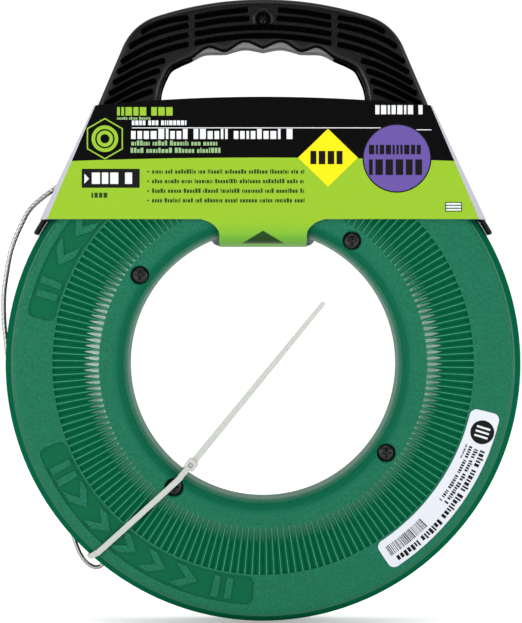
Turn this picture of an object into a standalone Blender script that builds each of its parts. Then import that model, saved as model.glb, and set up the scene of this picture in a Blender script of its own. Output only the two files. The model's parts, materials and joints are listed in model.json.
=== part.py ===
"""Fish tape reel: a two-shell ring case that spins in a hand grip, sold in a card sleeve.

The ring case turns about the world Y axis inside the slot that the grip's shoes ride in.
Every piece is built in one local frame, seen from the front: X to the right, Y up, Z towards
the viewer, with the reel's axis at its origin. Two empties carry that frame to the world, where
the front faces -Y and the origin is the middle of the grip's underside.
"""

from math import acos, atan2, cos, degrees, pi, radians, sin, sqrt

import bmesh
import bpy
import numpy as np
from mathutils import Vector

# Case: two shells joined at the hub, open at the rim.
RIM_RADIUS = 0.1605
HUB_RADIUS = 0.0828
CASE_HALF = 0.032
WALL = 0.0026
SLOT_HALF = 0.004
LIP_DEPTH = 0.002
RING_WIDTH = 0.020
CORNER_RUN = 0.0051
CORNER_DROP = 0.0026
CROWN_RUN = 0.0058
CROWN_DROP = 0.0007
RIB_RECESS = 0.0012
INNER_RING_WIDTH = 0.0082
HUB_FILLET = 0.0094
HUB_FILLET_DEPTH = 0.0115
HUB_DRAFT = 0.0006
TONGUE = 0.0013
TONGUE_LENGTH = 0.002
POCKET_DEPTH = 0.0007
POCKET_MARGIN = 0.0013
POCKETS = ((165.0, 106.0), (264.0, 204.5))

# Screws that hold the case together.
SCREW_COUNT = 4
SCREW_FIRST_ANGLE = 54.2
SCREW_INSET = 0.0107
SCREW_HEAD_RADIUS = 0.0053
SCREW_HEAD_HEIGHT = 0.0026
SCREW_SHANK_RADIUS = 0.0024
SCREW_GRIP = 0.014
COUNTERBORE_DEPTH = 0.0032
BOSS_WALL = 0.0048

# Coiled tape, its anchor and its label.
TAPE_WIDTH = 0.0032
TAPE_THICKNESS = 0.0015
COIL_INSET = 0.0135
COIL_DEPTH = 0.0085
COIL_HALF = 0.022
ANCHOR_ANGLE = 300.0
ANCHOR_HALF_ANGLE = 3.0
ANCHOR_INSET = 0.0185
ANCHOR_PLATE = 0.0018
ANCHOR_BOSS_RADIUS = 0.0055
ANCHOR_BOSS_HEIGHT = 0.0042
ANCHOR_LIP_HEIGHT = 0.012
ANCHOR_SCREW_RADII = (0.003, 0.0015)
LABEL_ANGLES = (-58.0, -12.0)
LABEL_THICKNESS = 0.0002

# Hand grip: two halves over the rim.
GRIP_HALF = 0.015
GRIP_WALL = 0.0035
GRIP_EDGE = 0.0035
GRIP_RISE = 0.0347
GRIP_TOP_RISE = 0.0658
GRIP_TOP_RADIUS = 0.214
BAND_THICKNESS = 0.0027
BAND_END_ANGLE = 30.0
LEG_SLOPE_ANGLE = 23.1
LEG_INSET = 0.0031
SHOULDER_RADIUS = 0.034
OPENING_HALF = 0.0648
GRIP_SCREW_RISE = 0.0535
GRIP_SCREW_HEAD = 0.0042
GRIP_SCREW_DEPTH = 0.008
GRIP_BOSS_RADIUS = 0.0065
GRIP_SCREW_FLOOR = 0.0025
BAND_HALF = 0.0135
INSERT_HALF_LENGTH = 0.0438
INSERT_HALF = 0.0113
INSERT_TOP_RISE = 0.0408
INSERT_DROP = 0.0008
INSERT_ARCH = 0.16
INSERT_SEAT_DROP = 0.012

# Shoes that ride in the rim slot, and the way out for the tape.
SHOE_ANGLES = (33.0, 67.0)
SHOE_WEB_ANGLES = (33.5, 66.5)
SHOE_FLANGE_HALF = 0.009
SHOE_WEB_HALF = 0.003
SHOE_BODY_HALF = 0.0045
SHOE_FLANGE = 0.0039
SHOE_BODY_TOP = 0.0092
SHOE_BODY_ANGLES = (49.0, 64.0)
SHOE_TAB_TOP = 0.0165
SHOE_TAB_ANGLES = (54.0, 63.5)
SHOE_SCREW_RISE = 0.012
SHOE_SCREW_ANGLE = 59.0
CHANNEL_RADIUS = 0.0023
EYELET_RADII = (0.002, 0.0028)
EYELET_LENGTH = 0.013
EYELET_LIP = 0.0015

# Leader: stranded steel from the tape's end to its pulling eye, all in the slot's plane.
LEADER_DIAMETER = 0.003
FERRULE_RADIUS = 0.002
FERRULE_ANGLES = (126.8, 130.6)
EYE_WIRE = 0.0026
EYE_FERRULE_RADIUS = 0.0025
EYE_FERRULE_ANGLES = (214.2, 218.9)
LEAD_START_ANGLE = 96.0
EXIT_ANGLES = (131.9, 136.86)
# (angle, height above the rim) along the leader, from inside the grip's leg to its eye.
LEADER_ROUTE = (
    (125.5, 0.0051), (131.9, 0.0057), (136.86, 0.0074), (138.72, 0.0084), (145.67, 0.0136),
    (150.5, 0.0135), (155.6, 0.0121), (160.4, 0.0094), (165.3, 0.0069), (171.0, 0.0033),
    (176.0, 0.0002), (181.5, -0.0023), (190.0, -0.0033), (202.0, -0.0033), (213.9, -0.0033),
)
EYE_ROUTE = (
    (219.5, -0.0030), (221.5, -0.0012), (224.0, 0.0020), (226.6, 0.0049), (228.7, 0.0058),
    (230.4, 0.0048), (231.3, 0.0020), (231.2, -0.0014), (230.0, -0.0036), (227.6, -0.0044),
    (224.5, -0.0044), (221.5, -0.0040),
)

# Card sleeve.
CARD = 0.0005
CARD_GAP = 0.0014
SLEEVE_ABOVE_HUB = 0.0063
SLEEVE_BELOW_RIM = 0.0015
SLEEVE_BOW = 0.0053
SLEEVE_MARGIN = 0.00062
GUSSET_TOP = 0.0024
GUSSET_BOTTOM = 0.0057
TAB_HALF = 0.027
TAB_ROOT_HALF = 0.038
TAB_DROP = 0.0092
SLIT_HALF = 0.005

# Cable tie round the ring.
TIE_WIDTH = 0.0036
TIE_THICKNESS = 0.0012
TIE_GAP = 0.0007
TIE_ANGLES = (228.1, 234.5)
TIE_HEAD = (0.0068, 0.0068, 0.0054)
TIE_HEAD_INSET = 0.0068
TIE_TAIL_LENGTH = 0.127
TIE_TAIL_ANGLE = 50.7
# (share of the length, lift) along the tie's free tail.
TIE_TAIL = ((0, 0), (0.25, 0.0004), (0.5, 0.0012), (0.75, 0.0014), (1, 0.0008))

# Clearances, and how far a cutter runs past the faces it cuts.
FIT = 0.0003
RUNNING_CLEARANCE = 0.0008
PAST = 0.01

# Facets round a circle.
CASE_STEPS = 48
RIM_STEPS = 72
SCREW_STEPS = 12
BOSS_STEPS = 16

# Sizes that follow from those above.
RING_OUTER = RIM_RADIUS - CORNER_RUN - CROWN_RUN
RIB_OUTER = RING_OUTER - RING_WIDTH
HUB_TOP_RADIUS = HUB_RADIUS + HUB_DRAFT + HUB_FILLET
RIB_INNER = HUB_TOP_RADIUS + INNER_RING_WIDTH
SCREW_CIRCLE = HUB_RADIUS + SCREW_INSET
BOSS_RADIUS = SCREW_SHANK_RADIUS + BOSS_WALL
INSIDE_HALF = CASE_HALF - RIB_RECESS - WALL
COIL_OUTER = RIM_RADIUS - COIL_INSET
BAND_INNER = RIM_RADIUS + RUNNING_CLEARANCE
BAND_OUTER = BAND_INNER + BAND_THICKNESS
LIP_INNER = RIM_RADIUS - WALL
GRIP_HEIGHT = RIM_RADIUS + GRIP_RISE - INSERT_DROP
SCREW_SEAT = CASE_HALF - COUNTERBORE_DEPTH
SLEEVE_BOTTOM = HUB_RADIUS + SLEEVE_ABOVE_HUB
SLEEVE_TOP = RIM_RADIUS - SLEEVE_BELOW_RIM
SLEEVE_HALF = CASE_HALF + CARD_GAP


def start_scene():
    """Empty the file and make the collections and the two frames that carry the pieces."""
    for thing in list(bpy.data.objects):
        bpy.data.objects.remove(thing, do_unlink=True)
    places = {}
    for name in ("fish_tape_reel", "cutters"):
        places[name] = bpy.data.collections.new(name)
        bpy.context.scene.collection.children.link(places[name])
    frames = {}
    for name in ("reel_axis", "grip_frame"):
        frame = bpy.data.objects.new(name, None)
        frame.location = (0, 0, -GRIP_HEIGHT)
        frame.rotation_euler = (pi / 2, 0, 0)
        places["fish_tape_reel"].objects.link(frame)
        frames[name] = frame
    return places["fish_tape_reel"], places["cutters"], frames["reel_axis"], frames["grip_frame"]


PARTS, CUTTERS, REEL, GRIP = start_scene()


# ---------------------------------------------------------------- materials
def material(name, colour, roughness, metallic=0.0):
    """A plain Principled material."""
    made = bpy.data.materials.new(name)
    made.use_nodes = True
    shader = made.node_tree.nodes["Principled BSDF"]
    shader.inputs["Base Color"].default_value = (*colour, 1)
    shader.inputs["Roughness"].default_value = roughness
    shader.inputs["Metallic"].default_value = metallic
    return made


CASE_GREEN = material("case_green", (0.006, 0.15, 0.085), 0.38)
GRIP_BLACK = material("grip_black", (0.012, 0.012, 0.013), 0.42)
GRIP_GREY = material("grip_grey", (0.16, 0.16, 0.16), 0.6)
SCREW_BLACK = material("screw_black", (0.015, 0.015, 0.016), 0.35, 0.9)
SPRING_STEEL = material("spring_steel", (0.55, 0.55, 0.54), 0.3, 1.0)
GUIDE_BLACK = material("guide_black", (0.03, 0.03, 0.03), 0.5)
LABEL_WHITE = material("label_white", (0.85, 0.86, 0.86), 0.45)
SLEEVE_GREEN = material("sleeve_green", (0.34, 0.62, 0.04), 0.4)
TIE_WHITE = material("tie_white", (0.8, 0.8, 0.76), 0.35)


# ---------------------------------------------------------------- building helpers
def place(name, mesh, frame, finish=None, smooth=40):
    """Put a mesh in the model as a sub-part, or among the cutters when it has no finish."""
    made = bpy.data.objects.new(name, mesh)
    made.parent = frame
    if finish is None:
        CUTTERS.objects.link(made)
        made.hide_render = True
        made.display_type = "WIRE"
        return made
    PARTS.objects.link(made)
    mesh.materials.clear()
    mesh.materials.append(finish)
    mesh.shade_smooth()
    mesh.set_sharp_from_angle(angle=radians(smooth))
    return made


def baked(made, weld=1e-6):
    """The object's evaluated shape as a plain mesh; the object itself is removed."""
    bpy.context.view_layer.update()
    graph = bpy.context.evaluated_depsgraph_get()
    mesh = bpy.data.meshes.new_from_object(made.evaluated_get(graph), depsgraph=graph)
    shape = bmesh.new()
    shape.from_mesh(mesh)
    bmesh.ops.remove_doubles(shape, verts=shape.verts, dist=weld)
    bmesh.ops.recalc_face_normals(shape, faces=shape.faces)
    shape.to_mesh(mesh)
    shape.free()
    bpy.data.objects.remove(made, do_unlink=True)
    return mesh


def outline_mesh(name, loops, low, high, edge=0.0):
    """Flat outlines in XY, the later ones holes in the first, made solid from low to high.

    With an edge, the corners between its faces and its sides are rounded by that much.
    """
    curve = bpy.data.curves.new(name, "CURVE")
    curve.dimensions = "2D"
    curve.fill_mode = "BOTH"
    curve.extrude = (high - low) / 2 - edge
    curve.bevel_depth = edge
    curve.bevel_resolution = 1
    curve.offset = -edge
    for loop in loops:
        spline = curve.splines.new("POLY")
        spline.points.add(len(loop) - 1)
        for point, (x, y) in zip(spline.points, loop):
            point.co = (x, y, 0, 1)
        spline.use_cyclic_u = True
    holder = bpy.data.objects.new(name, curve)
    CUTTERS.objects.link(holder)
    mesh = baked(holder)
    for vertex in mesh.vertices:
        vertex.co.z += (low + high) / 2
    return mesh


def turned_mesh(name, profile, steps):
    """A profile of (radius, z) turned round Z. It runs down its outer side, or round clockwise."""
    mesh = bpy.data.meshes.new(name)
    edges = [(i, i + 1) for i in range(len(profile) - 1)]
    if profile[0][0] > 0:
        edges.append((len(profile) - 1, 0))
    mesh.from_pydata([(r, 0, z) for r, z in profile], edges, [])
    holder = bpy.data.objects.new(name, mesh)
    CUTTERS.objects.link(holder)
    turn = holder.modifiers.new("turn", "SCREW")
    turn.steps = steps
    turn.render_steps = steps
    turn.use_merge_vertices = True
    turn.merge_threshold = 1e-6
    return baked(holder)


def tube_mesh(name, points, radius, resolution=2, closed=False):
    """A round tube along points."""
    curve = bpy.data.curves.new(name, "CURVE")
    curve.dimensions = "3D"
    curve.bevel_depth = radius
    curve.bevel_resolution = resolution
    curve.use_fill_caps = not closed
    spline = curve.splines.new("POLY")
    spline.points.add(len(points) - 1)
    for point, place_at in zip(spline.points, points):
        point.co = (*place_at, 1)
    spline.use_cyclic_u = closed
    holder = bpy.data.objects.new(name, curve)
    CUTTERS.objects.link(holder)
    return baked(holder)


def strap_mesh(name, points, across, width, thickness):
    """A flat strap lofted along points, its width along the given directions."""
    shape = bmesh.new()
    rings = []
    for i, point in enumerate(points):
        ahead = (points[min(i + 1, len(points) - 1)] - points[max(i - 1, 0)]).normalized()
        side = (across[i] - ahead * across[i].dot(ahead)).normalized() * width / 2
        out = side.cross(ahead).normalized() * thickness / 2
        corners = (side + out, -side + out, -side - out, side - out)
        rings.append([shape.verts.new(point + corner) for corner in corners])
    for here, there in zip(rings, rings[1:]):
        for k in range(4):
            shape.faces.new((here[k], here[(k + 1) % 4], there[(k + 1) % 4], there[k]))
    shape.faces.new(rings[0][::-1])
    shape.faces.new(rings[-1])
    bmesh.ops.recalc_face_normals(shape, faces=shape.faces)
    mesh = bpy.data.meshes.new(name)
    shape.to_mesh(mesh)
    shape.free()
    return mesh


def boolean(target, tool, operation="DIFFERENCE"):
    """Cut the tool from the target, or join or keep the shared volume."""
    step = target.modifiers.new(tool.name, "BOOLEAN")
    step.operation = operation
    step.object = tool
    step.solver = "EXACT"
    return target


def polar(radius, angle):
    return radius * cos(radians(angle)), radius * sin(radians(angle))


def arc(radius, start, end, steps, centre=(0, 0)):
    """Points on a circle from one angle to another, in degrees."""
    angles = np.linspace(start, end, steps + 1)
    return [(centre[0] + polar(radius, a)[0], centre[1] + polar(radius, a)[1]) for a in angles]


def smoothed(points, parts):
    """A smooth curve through every point, as a list with parts steps between neighbours."""
    points = [Vector(p) for p in points]
    ends = [2 * points[0] - points[1], *points, 2 * points[-1] - points[-2]]
    curve = []
    for a, b, c, d in zip(ends, ends[1:], ends[2:], ends[3:]):
        for k in range(parts):
            t = k / parts
            bend = (2 * a - 5 * b + 4 * c - d) * t * t + (3 * b - a - 3 * c + d) * t**3
            curve.append(b + ((c - a) * t + bend) / 2)
    return [*curve, points[-1]]


def mirrored(points):
    """The same outline on the other side of X = 0, walked back."""
    return [(-x, y) for x, y in reversed(points)]


def sector(inner, outer, start, end, steps):
    """The outline of a piece of a ring."""
    return arc(outer, start, end, steps) + arc(inner, end, start, steps)


def cylinder(name, radius, low, high, at, frame, finish=None, steps=BOSS_STEPS):
    """A plain cylinder along Z."""
    mesh = outline_mesh(name, [arc(radius, 0, 360 - 360 / steps, steps - 1, at)], low, high)
    return place(name, mesh, frame, finish)


# ---------------------------------------------------------------- case
def shell_profile(rear):
    """One shell's section as (radius, distance from the middle plane), clockwise."""
    corner = (RIM_RADIUS - CORNER_RUN, CASE_HALF - CORNER_DROP)
    lip = SLOT_HALF + LIP_DEPTH
    inside = INSIDE_HALF
    wall_slope = (RIM_RADIUS - corner[0]) / (corner[1] - lip)
    fillet_start = CASE_HALF - HUB_FILLET_DEPTH
    fillet = []
    for k in range(5):
        turn = pi / 2 * k / 4
        across = HUB_TOP_RADIUS - HUB_FILLET * sin(turn)
        fillet.append((across, fillet_start + HUB_FILLET_DEPTH * cos(turn)))
    outer = [
        (RIB_INNER, CASE_HALF),
        (RIB_INNER + FIT, CASE_HALF - RIB_RECESS),
        (RIB_OUTER - FIT, CASE_HALF - RIB_RECESS),
        (RIB_OUTER, CASE_HALF),
        (RING_OUTER, CASE_HALF),
        (RING_OUTER + CROWN_RUN * 0.7, CASE_HALF - CROWN_DROP),
        corner,
        (RIM_RADIUS, lip),
        (RIM_RADIUS, SLOT_HALF),
    ]
    inner = [
        (LIP_INNER, SLOT_HALF),
        (LIP_INNER, lip),
        (LIP_INNER - wall_slope * (inside - lip), inside),
        (HUB_TOP_RADIUS, inside),
        (HUB_TOP_RADIUS - HUB_FILLET * 0.55, inside - HUB_FILLET_DEPTH * 0.3),
    ]
    hub_wall = HUB_RADIUS + HUB_DRAFT + WALL
    tongue = hub_wall - TONGUE
    seam = FIT / 2
    if rear:
        step = tongue - FIT
        joint = [(hub_wall, TONGUE_LENGTH + seam), (step, TONGUE_LENGTH + seam), (step, seam)]
    else:
        joint = [(hub_wall, seam - TONGUE_LENGTH), (tongue, seam - TONGUE_LENGTH), (tongue, seam)]
    hub = [(hub_wall, fillet_start), *joint, (HUB_RADIUS, seam)]
    return outer + inner + hub + fillet[::-1]


def screw_places():
    pitch = 360 / SCREW_COUNT
    return [polar(SCREW_CIRCLE, SCREW_FIRST_ANGLE + pitch * i) for i in range(SCREW_COUNT)]


def anchor_place():
    return polar(COIL_OUTER - COIL_DEPTH - ANCHOR_INSET / 2, ANCHOR_ANGLE)


def pocket_outline(start, end):
    """A long recess in the flat ring, with round ends."""
    low, high = RIB_OUTER + POCKET_MARGIN, RING_OUTER - POCKET_MARGIN
    middle, half = (low + high) / 2, (high - low) / 2
    turn = degrees(half / middle)
    start, end = start - turn, end + turn
    far, near = polar(middle, start), polar(middle, end)
    outline = arc(high, end, start, 8)
    outline += arc(half, start, start + 180, 6, far)[1:-1]
    outline += arc(low, start, end, 8)
    outline += arc(half, end + 180, end + 360, 6, near)[1:-1]
    return outline


def shell(name, rear):
    """A case shell with its screw bosses; the front one has the counterbores."""
    side = -1 if rear else 1
    profile = [(r, side * depth) for r, depth in shell_profile(rear)]
    if rear:
        profile.reverse()
    made = place(name, turned_mesh(name, profile, CASE_STEPS), REEL, CASE_GREEN)
    seam = side * FIT / 2
    roof = side * (INSIDE_HALF + FIT)
    for i, at in enumerate(screw_places(), 1):
        boss = cylinder(f"{name}_boss_{i}", BOSS_RADIUS, min(seam, roof), max(seam, roof), at, REEL)
        boolean(made, boss, "UNION")
    bore_radius = SCREW_SHANK_RADIUS + FIT
    low, high = (-SCREW_GRIP - FIT, PAST) if rear else (-PAST, CASE_HALF + PAST)
    for i, at in enumerate(screw_places(), 1):
        if not rear:
            wide = SCREW_HEAD_RADIUS + 2 * FIT
            top = CASE_HALF + PAST
            boolean(made, cylinder(f"{name}_counterbore_{i}", wide, SCREW_SEAT, top, at, REEL))
        boolean(made, cylinder(f"{name}_bore_{i}", bore_radius, low, high, at, REEL))
    if rear:
        wall = -INSIDE_HALF
        at, foot = anchor_place(), wall + ANCHOR_BOSS_HEIGHT
        boss = cylinder("anchor_boss", ANCHOR_BOSS_RADIUS, wall - WALL / 3, foot, at, REEL)
        boolean(made, boss, "UNION")
        hole = ANCHOR_SCREW_RADII[1] + FIT
        boolean(made, cylinder("anchor_bore", hole, wall - WALL / 2, foot + PAST, at, REEL))
    floor, sky = CASE_HALF - POCKET_DEPTH, CASE_HALF + PAST
    for i, (start, end) in enumerate(POCKETS, 1):
        low, high = sorted((side * floor, side * sky))
        mesh = outline_mesh(f"{name}_pocket_{i}", [pocket_outline(start, end)], low, high)
        boolean(made, place(f"{name}_pocket_{i}", mesh, REEL))
    return made


def cross_outline(arm, half):
    """A plus sign with slightly tapered arms."""
    quarter = [(half, half), (arm, half * 0.75), (arm, -half * 0.75)]
    outline = []
    for k in range(4):
        c, s = round(cos(-pi / 2 * k)), round(sin(-pi / 2 * k))
        outline += [(x * c - y * s, x * s + y * c) for x, y in quarter]
    return outline


def screw(name, at, seat, length, frame, head=SCREW_HEAD_RADIUS, shank=SCREW_SHANK_RADIUS):
    """A pan-head screw with a cross recess, its head's underside at the seat."""
    height = head * 0.49
    profile = [
        (0, height),
        (head * 0.72, height),
        (head, height * 0.6),
        (head, 0),
        (shank, 0),
        (shank, shank - length),
        (0, -length),
    ]
    made = place(name, turned_mesh(name, profile, SCREW_STEPS), frame, SCREW_BLACK)
    made.location = (*at, seat)
    outline = cross_outline(head * 0.55, head * 0.13)
    recess = outline_mesh(f"{name}_recess", [outline], height * 0.45, height + 0.001)
    return boolean(made, place(f"{name}_recess", recess, made))


def tape_coil():
    """The wound tape, as the ring that its turns fill."""
    inner = COIL_OUTER - COIL_DEPTH
    profile = [(inner, COIL_HALF), (COIL_OUTER, COIL_HALF), (COIL_OUTER, -COIL_HALF), (inner, -COIL_HALF)]
    return place("tape_coil", turned_mesh("tape_coil", profile, CASE_STEPS), REEL, SPRING_STEEL)


def tape_anchor():
    """The clip that holds the tape's inner end to the rear shell: a plate with an upstand."""
    high = COIL_OUTER - COIL_DEPTH - FIT
    low = high - ANCHOR_INSET * 0.85
    angles = (ANCHOR_ANGLE - ANCHOR_HALF_ANGLE, ANCHOR_ANGLE + ANCHOR_HALF_ANGLE)
    foot = ANCHOR_BOSS_HEIGHT - INSIDE_HALF + FIT
    plate = outline_mesh("tape_anchor", [sector(low, high, *angles, 3)], foot, foot + ANCHOR_PLATE)
    made = place("tape_anchor", plate, REEL, SPRING_STEEL)
    narrow = (angles[0] + 0.4, angles[1] - 0.4)
    lip = sector(high - ANCHOR_PLATE - FIT, high - FIT, *narrow, 3)
    mesh = outline_mesh("anchor_upstand", [lip], foot + FIT, foot + ANCHOR_LIP_HEIGHT)
    upstand = place("anchor_upstand", mesh, REEL)
    boolean(made, upstand, "UNION")
    bore = ANCHOR_SCREW_RADII[1] + FIT
    low, high = foot - FIT, foot + ANCHOR_PLATE + FIT
    boolean(made, cylinder("anchor_clip_bore", bore, low, high, anchor_place(), REEL))
    seat = foot + ANCHOR_PLATE + FIT
    reach = seat + INSIDE_HALF + WALL / 3
    screw("anchor_screw", anchor_place(), seat, reach, REEL, *ANCHOR_SCREW_RADII)


def case_label():
    """The curved sticker on the flat ring."""
    low, high = RIB_OUTER + POCKET_MARGIN, RING_OUTER - FIT
    outline = sector(low, high, *LABEL_ANGLES, 16)
    base = CASE_HALF + FIT / 3
    mesh = outline_mesh("case_label", [outline], base, base + LABEL_THICKNESS)
    return place("case_label", mesh, REEL, LABEL_WHITE)


# ---------------------------------------------------------------- grip
def leg_line():
    """The straight outer side of the left leg: its normal and its distance from the axis."""
    turn = radians(180 - LEG_SLOPE_ANGLE)
    return Vector((cos(turn), sin(turn))), RIM_RADIUS - LEG_INSET


def leg_side(height):
    """How far from the middle the leg's outer side is at a height."""
    normal, away = leg_line()
    return (away - normal.y * height) / -normal.x


def top_centre():
    return Vector((0, RIM_RADIUS + GRIP_TOP_RISE - GRIP_TOP_RADIUS))


def shoulder():
    """The centre of the left shoulder's arc, tangent inside the top arc and to the leg."""
    normal, away = leg_line()
    along = Vector((-normal.y, normal.x)) * -1
    foot = normal * (away - SHOULDER_RADIUS) - top_centre()
    reach = GRIP_TOP_RADIUS - SHOULDER_RADIUS
    half = foot.dot(along)
    step = -half + sqrt(half * half - foot.length_squared + reach * reach)
    return top_centre() + foot + along * step


def grip_outer_half(inset=0.0):
    """The grip's outline from the middle of its top round the left shoulder."""
    centre, top = shoulder(), top_centre()
    meet = degrees(atan2(centre.y - top.y, centre.x - top.x))
    points = arc(GRIP_TOP_RADIUS - inset, 90, meet, 6, top)
    return points + arc(SHOULDER_RADIUS - inset, meet, 180 - LEG_SLOPE_ANGLE, 5, centre)[1:]


def leg_angle(radius, inset=0.0):
    """The angle at which the left leg's outer side reaches a radius about the axis."""
    return 180 - LEG_SLOPE_ANGLE - degrees(acos((leg_line()[1] - inset) / radius))


def finger_side():
    """The grip's underside from its middle to the foot of the left leg, as a smooth wave."""
    points = [
        (0, 0),
        (-0.0118, 0.0042),
        (-0.0232, -0.0018),
        (-0.0340, 0.0006),
        (-INSERT_HALF_LENGTH, -0.0057),
        (-0.0516, -0.0092),
        (-0.0572, -0.0125),
        (-0.0602, -0.0176),
        (-0.0628, -0.0240),
        (0.0007 - OPENING_HALF, -0.0312),
        (-OPENING_HALF, -0.0392),
    ]
    return [(p.x, p.y + RIM_RADIUS + GRIP_RISE) for p in smoothed(points, 2)]


def grip_loops():
    """The grip's outline and its finger opening, both running below the rim's edge."""
    foot = leg_angle(RIM_RADIUS)
    left = grip_outer_half() + [polar(RIM_RADIUS, foot)]
    left += arc(RIM_RADIUS - 0.013, foot - 3, 90, 6)
    outline = left + mirrored(left)[1:-1]
    wave = finger_side()
    sill = RIM_RADIUS - 0.0035
    foot = degrees(acos(OPENING_HALF / sill))
    half = wave + arc(sill, 180 - foot, 90, 4)
    return [outline, half + mirrored(half)[1:-1]]


def cavity_loop():
    """The hollow inside the grip: over the fingers and down both legs."""
    low = BAND_OUTER + GRIP_WALL
    side = OPENING_HALF + GRIP_WALL
    rise = RIM_RADIUS + GRIP_RISE
    left = grip_outer_half(GRIP_WALL)
    left += arc(low, leg_angle(low, GRIP_WALL), 180 - degrees(acos(side / low)), 3)
    left += [
        (0.0015 - side, rise - 0.0230),
        (0.0045 - side, rise - 0.0150),
        (0.0085 - side, rise - 0.0090),
        (-0.0540, rise - 0.0047),
        (-0.0485, rise - 0.0017),
        (-0.0478, rise + 0.0023),
    ]
    centre = (0, RIM_RADIUS + INSERT_TOP_RISE + GRIP_WALL - INSERT_ARCH)
    left += arc(INSERT_ARCH, 105, 90, 4, centre)
    return left + mirrored(left)[1:-1]


def insert_loop(grow=0.0, drop=0.0):
    """The soft insert's outline: a shallow wave below, an arc above."""
    edge = INSERT_HALF_LENGTH + grow
    points = [(0, -INSERT_DROP), (-0.0115, 0.0010), (-0.0240, -0.0018), (-0.0360, -0.0023), (-edge, -0.0057)]
    wave = [(p.x, p.y + RIM_RADIUS + GRIP_RISE - drop) for p in smoothed(points, 3)]
    top = RIM_RADIUS + INSERT_TOP_RISE + grow - INSERT_ARCH
    turn = degrees(acos(edge / INSERT_ARCH))
    half = wave + arc(INSERT_ARCH, 180 - turn, 90, 4, (0, top))
    return half + mirrored(half)[1:-1]


def band_loop():
    """The thin band that hugs the rim between and beyond the legs."""
    start, end = BAND_END_ANGLE, 180 - BAND_END_ANGLE
    centre = polar((BAND_INNER + BAND_OUTER) / 2, end)
    cap = arc(BAND_THICKNESS / 2, end, end + 180, 3, centre)[1:-1]
    left = arc(BAND_OUTER, 90, end, 12) + cap + arc(BAND_INNER, end, 90, 12)
    return left + mirrored(left)[1:-1]


def sided(loop, side):
    return loop if side > 0 else mirrored(loop)


def shoe_blocks(tag, side, grow=0.0):
    """The web, body and screw tab of a shoe, grown by a clearance for its seat in the grip."""
    body_top = BAND_INNER + SHOE_BODY_TOP
    sizes = {
        "web": (LIP_INNER - SHOE_FLANGE, BAND_INNER + 4 * FIT, SHOE_WEB_ANGLES, SHOE_WEB_HALF),
        "body": (BAND_INNER + FIT, body_top, SHOE_BODY_ANGLES, SHOE_BODY_HALF),
        "tab": (body_top - 0.002, BAND_INNER + SHOE_TAB_TOP, SHOE_TAB_ANGLES, SHOE_BODY_HALF),
    }
    made = []
    spread = degrees(grow / RIM_RADIUS)
    for part, (inner, outer, (start, end), half) in sizes.items():
        loop = sided(sector(inner - grow, outer + grow, start - spread, end + spread, 6), side)
        mesh = outline_mesh(f"{tag}_{part}", [loop], -half - grow, half + grow)
        made.append(place(f"{tag}_{part}", mesh, GRIP))
    return made


def shoe_screw_place(side):
    x, y = polar(BAND_INNER + SHOE_SCREW_RISE, SHOE_SCREW_ANGLE)
    return side * x, y


def grip_screws():
    """Where the grip's screws are, and how deep their heads' seats lie under its face."""
    sides = [(shoe_screw_place(side), COUNTERBORE_DEPTH) for side in (-1, 1)]
    return [((0, RIM_RADIUS + GRIP_SCREW_RISE), GRIP_SCREW_DEPTH), *sides]


def grip_half(name, rear):
    """One half of the grip, cut from the rounded whole at the middle plane."""
    whole = outline_mesh(name, grip_loops(), -GRIP_HALF, GRIP_HALF, GRIP_EDGE)
    made = place(name, whole, GRIP, GRIP_BLACK)
    wide = GRIP_HALF + PAST
    boolean(made, cylinder(f"{name}_rim", BAND_INNER, -wide, wide, (0, 0), GRIP, steps=RIM_STEPS))
    band = place(f"{name}_band", outline_mesh(name, [band_loop()], -BAND_HALF, BAND_HALF), GRIP)
    boolean(made, band, "UNION")
    seam, depth = FIT / 2, GRIP_HALF - GRIP_WALL
    reach = 2 * (RIM_RADIUS + GRIP_TOP_RISE)
    block = [(-reach, -reach), (-reach, reach), (reach, reach), (reach, -reach)]
    low, high = (-seam, wide) if rear else (-wide, seam)
    other = place(f"{name}_other_side", outline_mesh(name, [block], low, high), GRIP)
    boolean(made, other)
    low, high = (-depth, PAST) if rear else (-PAST, depth)
    boolean(made, place(f"{name}_cavity", outline_mesh(name, [cavity_loop()], low, high), GRIP))
    for i, (at, _) in enumerate(grip_screws(), 1):
        near = seam if i == 1 else SHOE_BODY_HALF + FIT
        far = depth + GRIP_WALL / 3
        low, high = (-far, -near) if rear else (near, far)
        boss = cylinder(f"{name}_boss_{i}", GRIP_BOSS_RADIUS, low, high, at, GRIP)
        boolean(made, boss, "UNION")
    for block in shoe_blocks(f"{name}_left", -1, FIT) + shoe_blocks(f"{name}_right", 1, FIT):
        boolean(made, block)
    half = INSERT_HALF + FIT
    seat = outline_mesh(name, [insert_loop(FIT, INSERT_SEAT_DROP)], -half, half)
    boolean(made, place(f"{name}_seat", seat, GRIP))
    for i, (at, seat_depth) in enumerate(grip_screws(), 1):
        low, high = (GRIP_SCREW_FLOOR - GRIP_HALF, PAST) if rear else (-PAST, wide)
        boolean(made, cylinder(f"{name}_bore_{i}", SCREW_SHANK_RADIUS + FIT, low, high, at, GRIP))
        if not rear:
            head = GRIP_SCREW_HEAD + FIT
            low = GRIP_HALF - seat_depth
            boolean(made, cylinder(f"{name}_head_{i}", head, low, wide, at, GRIP))
    for cutter in eyelet_seat(name):
        boolean(made, cutter)
    return made


def grip_insert():
    """The soft strip that the fingers close on."""
    mesh = outline_mesh("grip_insert", [insert_loop()], -INSERT_HALF, INSERT_HALF)
    return place("grip_insert", mesh, GRIP, GRIP_GREY)


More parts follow.
